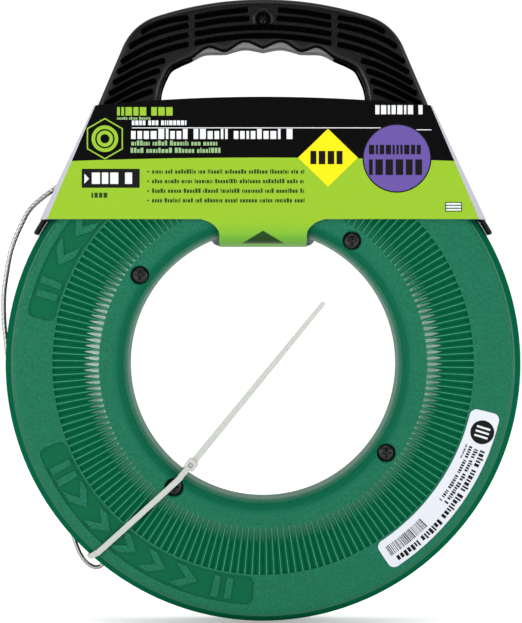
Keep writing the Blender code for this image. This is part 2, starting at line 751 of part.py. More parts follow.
def shoe(name, side, channel=None):
    """A low-friction shoe: a flange behind the rim's lips, a web in the slot, a body in the leg."""
    high = LIP_INNER - 5 * FIT
    loop = sided(sector(high - SHOE_FLANGE * 0.75, high, *SHOE_ANGLES, 8), side)
    mesh = outline_mesh(name, [loop], -SHOE_FLANGE_HALF, SHOE_FLANGE_HALF)
    made = place(name, mesh, GRIP, GUIDE_BLACK)
    for block in shoe_blocks(name, side):
        boolean(made, block, "UNION")
    at = shoe_screw_place(side)
    bore = SCREW_SHANK_RADIUS + FIT
    boolean(made, cylinder(f"{name}_bore", bore, -GRIP_HALF, GRIP_HALF, at, GRIP))
    if channel:
        mesh = tube_mesh(f"{name}_channel", channel, CHANNEL_RADIUS)
        boolean(made, place(f"{name}_channel", mesh, GRIP))
    return made


# ---------------------------------------------------------------- tape lead and leader
def rim_points(route):
    return [Vector((*polar(RIM_RADIUS + rise, angle), 0)) for angle, rise in route]


def route_part(points, start, end):
    """The points of a route between two angles about the axis."""
    angles = [degrees(atan2(p.y, p.x)) % 360 for p in points]
    return [p for p, angle in zip(points, angles) if start <= angle <= end]


def on_route(points, angle):
    """The place on a route at an angle about the axis."""
    angles = [degrees(atan2(p.y, p.x)) % 360 for p in points]
    for here, there, low, high in zip(points, points[1:], angles, angles[1:]):
        if low <= angle <= high:
            return here.lerp(there, (angle - low) / (high - low))
    return points[-1]


def lead_route():
    """The tape's way off the coil, straight out through the slot and round into the leg."""
    radius = COIL_OUTER + TAPE_THICKNESS / 2 + 0.0005
    rises = []
    for turn in (0, 9, 18, 25):
        rises.append((LEAD_START_ANGLE + turn, radius / cos(radians(turn)) - RIM_RADIUS))
    return rises


def eyelet_frame():
    """Where the leader leaves the grip, and its direction there."""
    inner, outer = rim_points(p for p in LEADER_ROUTE if p[0] in EXIT_ANGLES)
    return outer, (outer - inner).normalized()


def along_exit(name, profile, finish=None):
    """A piece turned about the leader's line where it leaves the grip."""
    made = place(name, turned_mesh(name, profile, BOSS_STEPS), GRIP, finish)
    origin, ahead = eyelet_frame()
    made.location = origin
    made.rotation_euler = ahead.to_track_quat("Z", "Y").to_euler()
    return made


def eyelet_seat(owner):
    """The bore through the leg's wall for the eyelet, and the spot face round its mouth."""
    bore = EYELET_RADII[1] + FIT
    mouth = bore + 0.0005
    low = -1.5 * EYELET_LENGTH
    through = along_exit(f"{owner}_exit_bore", [(0, 0.008), (bore, 0.008), (bore, low), (0, low)])
    face = EYELET_LIP - FIT
    spot = along_exit(f"{owner}_exit_face", [(0, 0.03), (mouth, 0.03), (mouth, face), (0, face)])
    return through, spot


def leader_pieces():
    """The tape's end, its ferrule, the stranded leader, the eye's ferrule and the pulling eye."""
    points = smoothed(rim_points(lead_route()) + rim_points(LEADER_ROUTE), 3)
    lead = route_part(points, LEAD_START_ANGLE - 1, FERRULE_ANGLES[0] - 0.4)
    flat = [Vector((0, 0, 1))] * len(lead)
    mesh = strap_mesh("tape_lead", lead, flat, TAPE_WIDTH, TAPE_THICKNESS)
    place("tape_lead", mesh, GRIP, SPRING_STEEL)
    margin = degrees(FIT / RIM_RADIUS)
    ends = [on_route(points, FERRULE_ANGLES[0] + margin), on_route(points, FERRULE_ANGLES[1] - margin)]
    mesh = tube_mesh("leader_ferrule", ends, FERRULE_RADIUS, 3)
    place("leader_ferrule", mesh, GRIP, SPRING_STEEL)
    rise = LEADER_ROUTE[-1][1]
    ends = rim_points([(EYE_FERRULE_ANGLES[0] + margin, rise), (EYE_FERRULE_ANGLES[1] - margin, rise)])
    mesh = tube_mesh("eye_ferrule", ends, EYE_FERRULE_RADIUS, 3)
    place("eye_ferrule", mesh, GRIP, SPRING_STEEL)
    cable = route_part(points, FERRULE_ANGLES[1] + margin, EYE_FERRULE_ANGLES[0] - margin)
    mesh = tube_mesh("leader_cable", cable, LEADER_DIAMETER / 2)
    place("leader_cable", mesh, GRIP, SPRING_STEEL)
    ring = rim_points(EYE_ROUTE)
    ring = smoothed(ring[-1:] + ring + ring[:2], 2)[2:-3]
    place("leader_eye", tube_mesh("leader_eye", ring, EYE_WIRE / 2, 2, True), GRIP, SPRING_STEEL)
    lip, low = EYELET_LIP, -EYELET_LENGTH
    hole, body = EYELET_RADII
    flare = body + 0.0005
    profile = [(hole, 2 * lip), (flare, 2 * lip), (flare, lip), (body, lip), (body, low), (hole, low)]
    along_exit("exit_eyelet", profile, SPRING_STEEL)
    return route_part(points, LEAD_START_ANGLE + 8, FERRULE_ANGLES[1] + 3)


# ---------------------------------------------------------------- packaging
def panel_row(height, half, bow=0.0):
    """Nine points across a sleeve panel, the middle ones in line with the tab."""
    root = TAB_ROOT_HALF * min(1, half / (1.6 * TAB_ROOT_HALF))
    across = [-half, -(half + root) / 2, -root, -root / 2, 0, root / 2, root, (half + root) / 2, half]
    return [(x, height + bow * (1 - (x / half) ** 2)) for x in across]


def sleeve_rows():
    """Heights of the sleeve's body, with the half width of its gussets at each."""
    low = sqrt(BAND_OUTER**2 - SLEEVE_BOTTOM**2) + SLEEVE_MARGIN
    high = leg_side(SLEEVE_TOP) + 3 * SLEEVE_MARGIN
    rows = []
    for share in (0, 0.2, 0.45, 0.75, 1):
        height = SLEEVE_BOTTOM + (SLEEVE_TOP - SLEEVE_BOTTOM) * share
        middle = low + (high - low) * share
        gusset = GUSSET_BOTTOM + (GUSSET_TOP - GUSSET_BOTTOM) * share
        rows.append((height, middle, gusset, SLEEVE_BOW * share**3))
    return rows


def card_sleeve():
    """One folded card: two panels, two bowed gussets, and a tab back through the hub."""
    shape = bmesh.new()
    bulge = ((0.82, 0.45), (0.62, 0.8), (0.41, 1), (0, 1), (-0.41, 1), (-0.62, 0.8), (-0.82, 0.45))
    loops = []
    for height, middle, gusset, bow in sleeve_rows():
        panel = panel_row(height, middle - gusset, bow)
        loop = [(x, y, SLEEVE_HALF) for x, y in panel]
        loop += [(middle - gusset * (1 - out), height, SLEEVE_HALF * deep) for deep, out in bulge]
        loop += [(x, y, -SLEEVE_HALF) for x, y in reversed(panel)]
        loop += [(-middle + gusset * (1 - out), height, -SLEEVE_HALF * deep) for deep, out in bulge]
        loops.append([shape.verts.new(point) for point in loop])
    count = len(loops[0])
    for below, above in zip(loops, loops[1:]):
        for k in range(count):
            after = (k + 1) % count
            shape.faces.new((below[k], below[after], above[after], above[k]))
    level = HUB_RADIUS - TAB_DROP
    bottom = SLEEVE_BOTTOM
    gap = SLEEVE_HALF - CASE_HALF
    # (share of the root's half width, height, depth) down the front, through the hub and up.
    tab = [
        (0.87, bottom - 0.0011, SLEEVE_HALF),
        (0.776, bottom - 0.0031, SLEEVE_HALF - gap * 0.05),
        (0.71, bottom - 0.0061, SLEEVE_HALF - gap * 0.12),
        (0.71, level + 0.0057, CASE_HALF - 0.0005),
        (0.71, level + 0.0022, CASE_HALF - 0.004),
        (0.71, level + 0.0004, CASE_HALF * 0.72),
        (0.71, level, CASE_HALF * 0.45),
        (0.71, level - 0.0002, -CASE_HALF * 0.45),
        (0.71, level - 0.0002, 0.002 - CASE_HALF),
        (0.9, level + 0.0012, -SLEEVE_HALF),
        (0.95, bottom - 0.004, -SLEEVE_HALF),
    ]
    strip = [loops[0][2:7]]
    for wide, height, deep in tab:
        row = [TAB_ROOT_HALF * wide * share for share in (-1, -0.5, 0, 0.5, 1)]
        strip.append([shape.verts.new((x, height, deep)) for x in row])
    strip.append([loops[0][9 + 7 + 8 - k] for k in range(2, 7)])
    for above, below in zip(strip, strip[1:]):
        for k in range(4):
            shape.faces.new((above[k + 1], above[k], below[k], below[k + 1]))
    bmesh.ops.recalc_face_normals(shape, faces=shape.faces)
    mesh = bpy.data.meshes.new("card_sleeve")
    shape.to_mesh(mesh)
    shape.free()
    made = place("card_sleeve", mesh, GRIP, SLEEVE_GREEN, smooth=25)
    thick = made.modifiers.new("card", "SOLIDIFY")
    thick.thickness = CARD
    thick.offset = 0
    thick.use_even_offset = True
    angle = degrees(atan2(eyelet_frame()[0].y, eyelet_frame()[0].x))
    slit = sector(RIM_RADIUS + 0.002, RIM_RADIUS + 0.03, angle - 1.0, angle + 5.0, 3)
    cutter = place("leader_slit", outline_mesh("leader_slit", [slit], -SLIT_HALF, SLIT_HALF), GRIP)
    return boolean(made, cutter)


def tie_section():
    """The strap's way round one side of the ring, as (radius, depth) from the rim to the hub."""
    off = TIE_GAP + TIE_THICKNESS / 2
    corner = (RIM_RADIUS - CORNER_RUN, CASE_HALF - CORNER_DROP)
    points = [
        (RIM_RADIUS + off, SLOT_HALF + LIP_DEPTH),
        (corner[0] + off * 0.95, corner[1] + off * 0.4),
        (corner[0] - 0.0011, CASE_HALF + off * 0.15),
        (RING_OUTER, CASE_HALF + off),
    ]
    for turn in (90, 68, 45, 20, 0):
        c, s = cos(radians(turn)), sin(radians(turn))
        size = sqrt((c / HUB_FILLET) ** 2 + (s / HUB_FILLET_DEPTH) ** 2)
        radius = HUB_TOP_RADIUS - HUB_FILLET * c - off * c / HUB_FILLET / size
        depth = CASE_HALF - HUB_FILLET_DEPTH * (1 - s) + off * s / HUB_FILLET_DEPTH / size
        points.append((radius, depth))
    return points


def cable_tie():
    """The tie round the ring and through the leader's eye, with its head and long tail."""
    first, last = TIE_ANGLES
    head_radius = HUB_RADIUS - TIE_HEAD_INSET
    off = TIE_GAP + TIE_THICKNESS / 2
    section = tie_section()
    middle = (RIM_RADIUS + off, 0)
    front = [middle, *section[:5], (HUB_RADIUS + 0.002, CASE_HALF + off * 0.7)]
    front += [(head_radius, CASE_HALF - 0.0008)]
    rear = [(r, -d) for r, d in [*reversed(section)]] + [middle]
    start = [(head_radius - 0.0002, CASE_HALF - 0.0036), (HUB_RADIUS - off - 0.0018, CASE_HALF - 0.0075)]
    start += [(HUB_RADIUS - off, HUB_RADIUS * 0.14), (HUB_RADIUS - off, 0)]
    route = start + rear + front[1:]
    reach = RIM_RADIUS + off - head_radius
    points, across = [], []
    for radius, depth in route:
        turn = radians(first + (last - first) * (RIM_RADIUS + off - radius) / reach)
        points.append(Vector((radius * cos(turn), radius * sin(turn), depth)))
        across.append(Vector((-sin(turn), cos(turn), 0)))
    loop = strap_mesh("cable_tie", points, across, TIE_WIDTH, TIE_THICKNESS)
    made = place("cable_tie", loop, GRIP, TIE_WHITE)
    turn = radians(TIE_TAIL_ANGLE)
    ahead, side = Vector((cos(turn), sin(turn), 0)), Vector((-sin(turn), cos(turn), 0))
    length, width, height = TIE_HEAD
    centre = Vector((points[-1].x, points[-1].y, CASE_HALF - 0.0022))
    block = [(-length, -width), (-length, width), (length, width), (length, -width)]
    outline = [((centre + ahead * x / 2 + side * y / 2).xy[:]) for x, y in block]
    mesh = outline_mesh("tie_head", [outline], centre.z - height / 2, centre.z + height / 2)
    boolean(made, place("tie_head", mesh, GRIP), "UNION")
    base = centre + Vector((0, 0, 0.0004)) + ahead * length * 0.3
    tail = [base + ahead * TIE_TAIL_LENGTH * share + Vector((0, 0, lift)) for share, lift in TIE_TAIL]
    mesh = strap_mesh("tie_tail", tail, [side] * len(tail), TIE_WIDTH * 0.99, TIE_THICKNESS * 0.98)
    boolean(made, place("tie_tail", mesh, GRIP), "UNION")
    return made


# ---------------------------------------------------------------- assembly
shell("front_shell", rear=False)
shell("rear_shell", rear=True)
for number, spot in enumerate(screw_places(), 1):
    reach = SCREW_SEAT + SCREW_GRIP - 2 * FIT
    screw(f"case_screw_{number}", spot, SCREW_SEAT + FIT, reach, REEL)
tape_coil()
tape_anchor()
case_label()
grip_half("handle_front", rear=False)
grip_half("handle_rear", rear=True)
grip_insert()
names = ("handle_screw_top", "handle_screw_left", "handle_screw_right")
for name, (spot, deep) in zip(names, grip_screws()):
    seat = GRIP_HALF - deep + FIT
    reach = seat + GRIP_HALF - GRIP_SCREW_FLOOR - 2 * FIT
    screw(name, spot, seat, reach, GRIP, head=GRIP_SCREW_HEAD)
shoe("tape_guide", -1, leader_pieces())
shoe("rim_guide", 1)
card_sleeve()
cable_tie()
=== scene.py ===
"""Looks of the fish tape reel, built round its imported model.

Pieces are laid out in the model's own local frame: x to the right, y up from the reel's axis and
d towards the viewer from the slot's middle plane, in metres. place_mesh() carries them to the row
frame, where the front faces -Y.
"""

import json
import random
from contextlib import contextmanager
from math import acos, atan2, cos, degrees, hypot, pi, radians, sin, sqrt

import bmesh
import bpy
import numpy as np
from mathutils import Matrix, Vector


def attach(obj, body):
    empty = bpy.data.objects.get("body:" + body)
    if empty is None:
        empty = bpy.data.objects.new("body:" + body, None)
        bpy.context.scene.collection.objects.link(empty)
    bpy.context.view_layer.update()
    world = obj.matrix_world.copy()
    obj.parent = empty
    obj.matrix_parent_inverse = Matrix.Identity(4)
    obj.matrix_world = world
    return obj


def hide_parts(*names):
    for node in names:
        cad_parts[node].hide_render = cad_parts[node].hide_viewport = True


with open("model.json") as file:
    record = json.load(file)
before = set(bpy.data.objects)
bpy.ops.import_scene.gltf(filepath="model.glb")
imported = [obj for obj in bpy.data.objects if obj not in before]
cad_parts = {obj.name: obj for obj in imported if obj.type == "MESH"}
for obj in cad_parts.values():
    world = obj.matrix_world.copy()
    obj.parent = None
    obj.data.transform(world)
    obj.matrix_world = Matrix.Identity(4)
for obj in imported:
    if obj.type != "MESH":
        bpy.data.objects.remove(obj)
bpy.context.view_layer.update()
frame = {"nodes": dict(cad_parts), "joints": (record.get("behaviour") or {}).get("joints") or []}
AXIS_Z = frame["joints"][0]["pos_m"][2]
CHANCE = random.Random(7)
WELD = 1e-7
CUT, ADD = "DIFFERENCE", "UNION"

# Case.
RIM_RADIUS = 0.1605
CASE_HALF = 0.032
WALL = 0.0026
SLOT_HALF = 0.004
SEAM = 0.00015
INSIDE_HALF = 0.0282
HUB_RADIUS = 0.0828
HUB_TOP_RADIUS = 0.0928
HUB_FILLET = 0.0094
HUB_FILLET_DEPTH = 0.0115
RIB_INNER = 0.101
RIB_OUTER = 0.1296
RING_OUTER = 0.1496
CELLS = 180
RIB_DEPTH = 0.00175
RIB_RAMP = 0.0092
# (place across a rib's cell, share of its depth)
RIB_COLUMNS = ((0, 1), (0.2, 0.6), (0.37, 0.2), (0.45, 0), (0.55, 0), (0.63, 0.2), (0.8, 0.6))
# (radius, depth) from the flat ring over the corner to the slot's lip
RIM_ROWS = (
    (0.1304, 0.0320), (0.1400, 0.0320), (0.1490, 0.0320), (0.1501, 0.03196), (0.1514, 0.03178),
    (0.1527, 0.03148), (0.1535, 0.03120), (0.1541, 0.03106), (0.1547, 0.03078), (0.1552, 0.03022),
    (0.1555, 0.0294), (0.1559, 0.0274), (0.1574, 0.0202), (0.1590, 0.0130), (0.16035, 0.0064),
    (0.1605, 0.0052), (0.16035, 0.0043), (0.1600, 0.0040),
)
POCKETS = ((106.0, 165.0), (204.5, 264.0))
POCKET_MARGIN = 0.0013
POCKET_DEPTH = 0.0009
POCKET_CORNER = 0.0045
CHEVRONS = 7
SCREW_CIRCLE = 0.0935
SCREW_ANGLES = (54.2, 144.2, 234.2, 324.2)
SCREW_SEAT = 0.0288
COUNTERBORE = 0.0059
# Where the case's finish changes: its wall, the ledge at its corner (radius, depth), its pockets
# and the hub's fillet; the wall and the fillet's steps take darker copies of the case's colour,
# painted shade.
WALL_FROM = 0.1553
LEDGE_FROM = (0.1536, 0.0295)
POCKETS_FROM, POCKETS_TO = 0.130, 0.149
SHADED_FILLET_FROM, SHADED_FILLET_STEPS = 0.0856, (0.0913, 0.0896)
BOSS_RADIUS = 0.0072
SHANK_RADIUS = 0.0024
BORE_DEPTH = 0.0143
CASE_HEAD = 0.0053
CASE_SCREW_LENGTH = 0.042
FIT = 0.0003

# Screws, in shares of the head's radius: its profile, then its recess as (drop, arm, half width).
HEAD_PROFILE = ((0, 0.49), (0.3, 0.485), (0.55, 0.455), (0.75, 0.39), (0.9, 0.28), (0.97, 0.17),
                (1, 0.08), (1, 0.03), (0.97, 0))
CROSS_LEVELS = ((-0.03, 0.62, 0.15), (0.06, 0.58, 0.14), (0.3, 0.33, 0.1), (0.42, 0.1, 0.07))

# Coil.
COIL_INNER, COIL_OUTER, COIL_HALF, COIL_TURNS, COIL_LAYERS = 0.1385, 0.147, 0.022, 14, 6

# Label.
LABEL_ANGLES = (-58.0, -12.0)
LABEL_RADII = (0.1309, 0.1493)
LABEL_CORNER, LABEL_MIDDLE = 0.0042, 0.14
DISC_RADIUS, DISC_PLACE = 0.00735, (0.1412, -17.3)
DISC_BAR = (0.0085, 0.0012, 0.0028)
STRIPE_RADII, STRIPE_ANGLES = (0.1352, 0.1420), (-56.2, -44.6)
# Lines of print, as (radius, height, start angle, end angle, weight).
LABEL_LINES = ((0.1457, 0.0039, -57.0, -21.6, 0.5), (0.1413, 0.0026, -37.8, -21.8, 0.45),
               (0.1378, 0.0026, -37.6, -21.6, 0.45), (0.1347, 0.0012, -25.6, -21.4, 0.5))
LABEL_LEVELS = (0.0321, 0.03226)
INK = 0.00004

# Grip.
GRIP_HALF = 0.015
GRIP_WALL = 0.0035
GRIP_EDGE = 0.0035
GRIP_RISE = 0.0347
GRIP_TOP_RISE = 0.0658
GRIP_TOP_RADIUS = 0.214
BAND_INNER, BAND_OUTER, BAND_HALF = 0.1613, 0.164, 0.0135
BAND_END_ANGLE = 30.0
LEG_SLOPE_ANGLE = 23.1
LEG_INSET = 0.0031
SHOULDER_RADIUS = 0.034
OPENING_HALF = 0.0648
INSERT_HALF_LENGTH = 0.0438
INSERT_HALF = 0.0113
INSERT_TOP_RISE = 0.0408
INSERT_DROP = 0.0008
INSERT_ARCH = 0.16
TOP_SCREW = (0.0, 0.214)
GRIP_HEAD = 0.0042
GRIP_BOSS = 0.0065
TOP_SCREW_DEPTH = 0.008
TOP_RING = ((0.0050, -0.001), (0.0050, 0.0004), (0.0053, 0.0008), (0.0058, 0.0009),
            (0.0064, 0.0006), (0.0067, 0), (0.0069, -0.001))
SIDE_SCREW_DEPTH = 0.0032
SHOE_SCREW = (0.1733, 59.0)
# Seats for the right shoe, as (inner radius, outer radius, start angle, end angle, half width).
SHOE_SEATS = ((0.1610, 0.1630, 33.1, 66.9, 0.0033), (0.1610, 0.1712, 48.8, 64.2, 0.0048))
GROOVE_HALF = 0.00112
GROOVE_DEPTH = 0.0021
# A groove's section, as (height above the face, share of its half width).
GROOVE_FLARE = ((0.0012, 2.2), (0.0002, 1.95), (-0.00018, 1.6), (-0.0006, 1.24), (-0.0012, 1.04),
                (-GROOVE_DEPTH, 0.92))
# Grooves of the right half of the grip's face: the middle set, then the shoulder's.
MIDDLE_GROOVES = (
    ((0.0105, 0.2194), (0.0260, 0.2177), (0.0412, 0.2150)),
    ((0.0096, 0.2141), (0.0260, 0.2127), (0.0412, 0.2100)),
    ((0.0, 0.2086), (0.0140, 0.2081), (0.0280, 0.2067), (0.0412, 0.2046)),
    ((0.0, 0.2034), (0.0140, 0.2028), (0.0280, 0.2013), (0.0412, 0.1990)),
)
SHOULDER_GROOVES = (
    ((0.0474, 0.2146), (0.0595, 0.2124), (0.0690, 0.2091), (0.0745, 0.2060)),
    ((0.0474, 0.2096), (0.0550, 0.2080), (0.0665, 0.2046), (0.0770, 0.2000), (0.0820, 0.1968)),
    ((0.0474, 0.2037), (0.0560, 0.2016), (0.0680, 0.1977), (0.0785, 0.1926), (0.0868, 0.1876)),
    ((0.0474, 0.1979), (0.0560, 0.1958), (0.0680, 0.1919), (0.0790, 0.1869), (0.0894, 0.1811)),
    ((0.0620, 0.1878), (0.0700, 0.1852), (0.0800, 0.1807), (0.0917, 0.1744)),
    ((0.0652, 0.1815), (0.0720, 0.1791), (0.0820, 0.1744), (0.0943, 0.1677)),
    ((0.0677, 0.1751), (0.0740, 0.1728), (0.0840, 0.1681), (0.0968, 0.1613)),
    ((0.0697, 0.1688), (0.0760, 0.1665), (0.0860, 0.1618), (0.0990, 0.1551)),
)

# Leader, as (angle about the axis, height above the rim).
LEADER_DIAMETER = 0.003
FERRULE_RADIUS = 0.002
FERRULE_ANGLES = (126.8, 130.6)
EYE_WIRE = 0.0026
EYE_FERRULE_RADIUS = 0.0025
EYE_FERRULE_ANGLES = (214.2, 218.9)
LEAD_START_ANGLE = 96.0
EXIT_ANGLES = (131.9, 136.86)
LEADER_ROUTE = (
    (125.5, 0.0051), (131.9, 0.0057), (136.86, 0.0074), (138.72, 0.0084), (145.67, 0.0136),
    (150.5, 0.0135), (155.6, 0.0121), (160.4, 0.0094), (165.3, 0.0069), (171.0, 0.0033),
    (176.0, 0.0002), (181.5, -0.0023), (190.0, -0.0033), (202.0, -0.0033), (213.9, -0.0033),
)
EYE_ROUTE = (
    (219.5, -0.0030), (221.5, -0.0012), (224.0, 0.0020), (226.6, 0.0049), (228.7, 0.0058),
    (230.4, 0.0048), (231.3, 0.0020), (231.2, -0.0014), (230.0, -0.0036), (227.6, -0.0044),
    (224.5, -0.0044), (221.5, -0.0040),
)
STRANDS = 6
STRAND_LAY = 0.018
EYELET_BORE, EYELET_BODY, EYELET_LENGTH, EYELET_LIP = 0.002, 0.0028, 0.013, 0.0015
# Bores for the eyelet, as (radius, start, end) along the leader's way out.
EXIT_BORES = ((EYELET_BODY + FIT, -0.0195, 0.008), (0.0036, 0.0012, 0.02))

# Sleeve.
CARD = 0.0005
SLEEVE_BOTTOM, SLEEVE_TOP, SLEEVE_HALF = 0.0891, 0.159, 0.0334
SLEEVE_BOW = 0.0053
SLEEVE_MARGIN = 0.00062
GUSSET_TOP, GUSSET_BOTTOM = 0.0024, 0.0057
TAB_ROOT_HALF = 0.038
SLIT_HALF = 0.005
# Where the tab's painted shade starts below the sleeve's bottom, and the length over which it
# deepens.
TAB_SHADE_START, TAB_SHADE_LENGTH = 0.001, 0.011
BAND_LINE, BAND_LINE_DROP, PANEL_HALF = 0.1269, 0.0021, 0.118
FACE = SLEEVE_HALF + CARD / 2

# Cable tie.
TIE_WIDTH = 0.0036
TIE_THICKNESS = 0.0012
TIE_GAP = 0.0007
TIE_ANGLES = (228.1, 234.5)
TIE_HEAD = (0.0068, 0.0068, 0.0054)
TIE_HEAD_CORNER = 0.0012
TIE_HEAD_INSET = 0.0068
TIE_TAIL_LENGTH = 0.127
TIE_TAIL_ANGLE = 50.7
TIE_TAIL = ((0, 0), (0.25, 0.0004), (0.5, 0.0012), (0.75, 0.0014), (1, 0.0008))
TOOTH_PITCH = 0.0011


# ---- materials
def fill(made, values):
    for name, value in values.items():
        made.inputs[name.replace("_", " ")].default_value = value
    return made


def node(tree, kind, **values):
    return fill(tree.nodes.new(kind), values)


def ramp(tree, colours, stops=(0, 1)):
    made = node(tree, "ShaderNodeValToRGB")
    for stop, colour, at in zip(made.color_ramp.elements, colours, stops):
        stop.position = at
        stop.color = (*colour, 1)
    return made


def surface(name, colour, roughness, specular, grain, scale=900, vary=0.0, wear=0.0, metallic=0.0,
            tint=(1, 1, 1)):
    """A Principled material with grain in its relief and slow variation in colour and gloss."""
    made = bpy.data.materials.new(name)
    made.use_nodes = True
    tree = made.node_tree
    link = tree.links.new
    shader = fill(tree.nodes["Principled BSDF"], {
        "Base Color": (*colour, 1), "Roughness": roughness, "Metallic": metallic,
        "Specular IOR Level": specular, "Specular Tint": (*tint, 1)})
    places = node(tree, "ShaderNodeTexCoord")
    fine = node(tree, "ShaderNodeTexNoise", Scale=scale, Detail=3.0, Roughness=0.6)
    link(places.outputs["Object"], fine.inputs["Vector"])
    bump = node(tree, "ShaderNodeBump", Strength=0.6, Distance=grain)
    link(fine.outputs["Fac"], bump.inputs["Height"])
    link(bump.outputs["Normal"], shader.inputs["Normal"])
    if not vary:
        return made
    slow = node(tree, "ShaderNodeTexNoise", Scale=scale * 0.7, Detail=4.0, Roughness=0.65)
    link(places.outputs["Object"], slow.inputs["Vector"])
    shades = [[min(c * share, 1) for c in colour] for share in (1 - vary, 1 + vary)]
    tones = ramp(tree, shades, (0.3, 0.7))
    link(slow.outputs["Fac"], tones.inputs["Fac"])
    link(tones.outputs["Color"], shader.inputs["Base Color"])
    if wear:
        gloss = node(tree, "ShaderNodeMapRange", From_Min=0.3, From_Max=0.7,
                     To_Min=roughness - wear, To_Max=roughness + wear)
        link(slow.outputs["Fac"], gloss.inputs["Value"])
        link(gloss.outputs["Result"], shader.inputs["Roughness"])
    return made


# The second colour is the lime in painted shade, for the tab where it bends back under the hub.
LIME, LIME_TAB_SHADE, CARD_BLACK = (0.222, 0.392, 0.022), (0.13, 0.34, 0.035), (0.0012, 0.0012, 0.0014)


def printed_card_and_tab_shade(name):
    """The sleeve's print: black above a gently bowed line, lime below; down the tab it turns greener
    and darker, a painted shade where the card bends back.
    """
    made = surface(name, LIME, 0.5, 0.035, 0.00002, 1500)
    tree = made.node_tree
    link = tree.links.new
    apart = node(tree, "ShaderNodeSeparateXYZ")
    link(node(tree, "ShaderNodeTexCoord").outputs["Object"], apart.inputs["Vector"])

    def maths(operation, first, second):
        step = node(tree, "ShaderNodeMath")
        step.operation = operation
        for socket, value in zip(step.inputs, (first, second)):
            if isinstance(value, (int, float)):
                socket.default_value = value
            else:
                link(value, socket)
        return step.outputs[0]

    across = maths("MULTIPLY", apart.outputs["X"], 1 / PANEL_HALF)
    drop = maths("MULTIPLY", maths("MULTIPLY", across, across), BAND_LINE_DROP)
    above = maths("ADD", apart.outputs["Z"], drop)
    black = maths("GREATER_THAN", above, BAND_LINE + AXIS_Z)
    # Painted shade: below the sleeve's bottom the lime turns greener and darker down the tab.
    low = maths("SUBTRACT", AXIS_Z + SLEEVE_BOTTOM - TAB_SHADE_START, apart.outputs["Z"])
    tab_shade = node(tree, "ShaderNodeClamp")
    link(maths("MULTIPLY", low, 1 / TAB_SHADE_LENGTH), tab_shade.inputs["Value"])
    tones = ramp(tree, (LIME, LIME_TAB_SHADE))
    link(tab_shade.outputs[0], tones.inputs["Fac"])
    mix = node(tree, "ShaderNodeMix")
    mix.data_type = "RGBA"
    link(black, mix.inputs["Factor"])
    link(tones.outputs["Color"], mix.inputs[6])
    mix.inputs[7].default_value = (*CARD_BLACK, 1)
    link(mix.outputs[2], tree.nodes["Principled BSDF"].inputs["Base Color"])
    return made


# Each has its colour, roughness, specular level, grain's depth and scale, then how far its colour
# and its roughness vary.
GREEN = surface("case_green_grained", (0.0018, 0.112, 0.058), 0.46, 0.16, 0.0009, 900, 0.3, 0.08)
# Troughs, pocket floors and inside faces: a smooth finish whose base is darker than the grained one,
# a painted shade in the recesses.
GREEN_SMOOTH_SHADED = surface("case_green_smooth", (0.0008, 0.092, 0.039), 0.4, 0.07, 0.00002, 500, 0.04,
                       0.04)
# Outer wall: the case's colour made darker and without gloss, a painted shade on the steep rim.
GREEN_WALL_SHADE = surface("case_green_wall", (0.001, 0.084, 0.038), 0.6, 0.0, 0.00004, 700, 0.06, 0.04)
# The hub's fillet in three steps, each a darker copy of the case's colour: painted shade deepening
# towards the hole.
GREEN_FILLET_SHADES = [surface(f"case_green_fillet_shade_{k}", (0.0018 * t, 0.112 * t, 0.058 * t), 0.52,
                        0.13 - 0.04 * k, 0.0003, 900, 0.15, 0.04)
                for k, t in enumerate((0.95, 0.88, 0.81))]
GREEN_GLOSS = surface("case_green_gloss", (0.001, 0.088, 0.04), 0.2, 0.3, 0.00001, 900, 0.05, 0.04)
# Rib crests: a paler copy of the case's colour, a painted highlight for the bright ridge lines.
GREEN_CREST_HIGHLIGHT = surface("case_green_crest", (0.03, 0.21, 0.125), 0.4, 0.3, 0.00002, 1200, 0.2, 0.05)
BLACK = surface("grip_black_moulded", (0.0013, 0.0013, 0.0016), 0.28, 0.25, 0.00004, 1100, 0.15,
                0.05)
# Groove floors and the finger opening's walls: a darker black without gloss, a painted shade.
BLACK_GROOVE_SHADE = surface("grip_black_groove", (0.0008, 0.0008, 0.0009), 0.6, 0.0, 0.00004, 1100, 0.15,
                     0.05)
GREY = surface("grip_grey_rubber", (0.18, 0.18, 0.182), 0.72, 0.3, 0.0001, 1300, 0.08, 0.06)
SCREW = surface("screw_black_oxide", (0.022, 0.022, 0.024), 0.32, 0.5, 0.00002, 2500, 0.4, 0.08,
                metallic=0.85)
STEEL = surface("spring_steel_bright", (0.36, 0.36, 0.35), 0.28, 0.5, 0.00002, 2200, 0.14, 0.08,
                metallic=1.0, tint=(0.05, 0.05, 0.05))
STRAND = surface("leader_strand_steel", (0.36, 0.36, 0.35), 0.34, 0.5, 0.00001, 3000, 0.1, 0.05,
                 metallic=1.0, tint=(0.02, 0.02, 0.02))
GUIDE = surface("guide_black_nylon", (0.004, 0.004, 0.004), 0.45, 0.25, 0.00003, 900, 0.1, 0.05)
PAPER = surface("label_white_film", (0.54, 0.56, 0.61), 0.4, 0.3, 0.00002, 1400, 0.02, 0.04)
PRINT_AND_TAB_SHADE = printed_card_and_tab_shade("sleeve_print_card")
CARD_WHITE = surface("sleeve_white_card", (0.4, 0.4, 0.46), 0.62, 0.2, 0.00004, 1500, 0.05)
NYLON = surface("tie_white_nylon", (0.41, 0.43, 0.4), 0.36, 0.25, 0.00001, 1500, 0.03, 0.03)


def ink(name, colour):
    return surface(name, colour, 0.42, 0.12, 0.00001, 1500, 0.03)


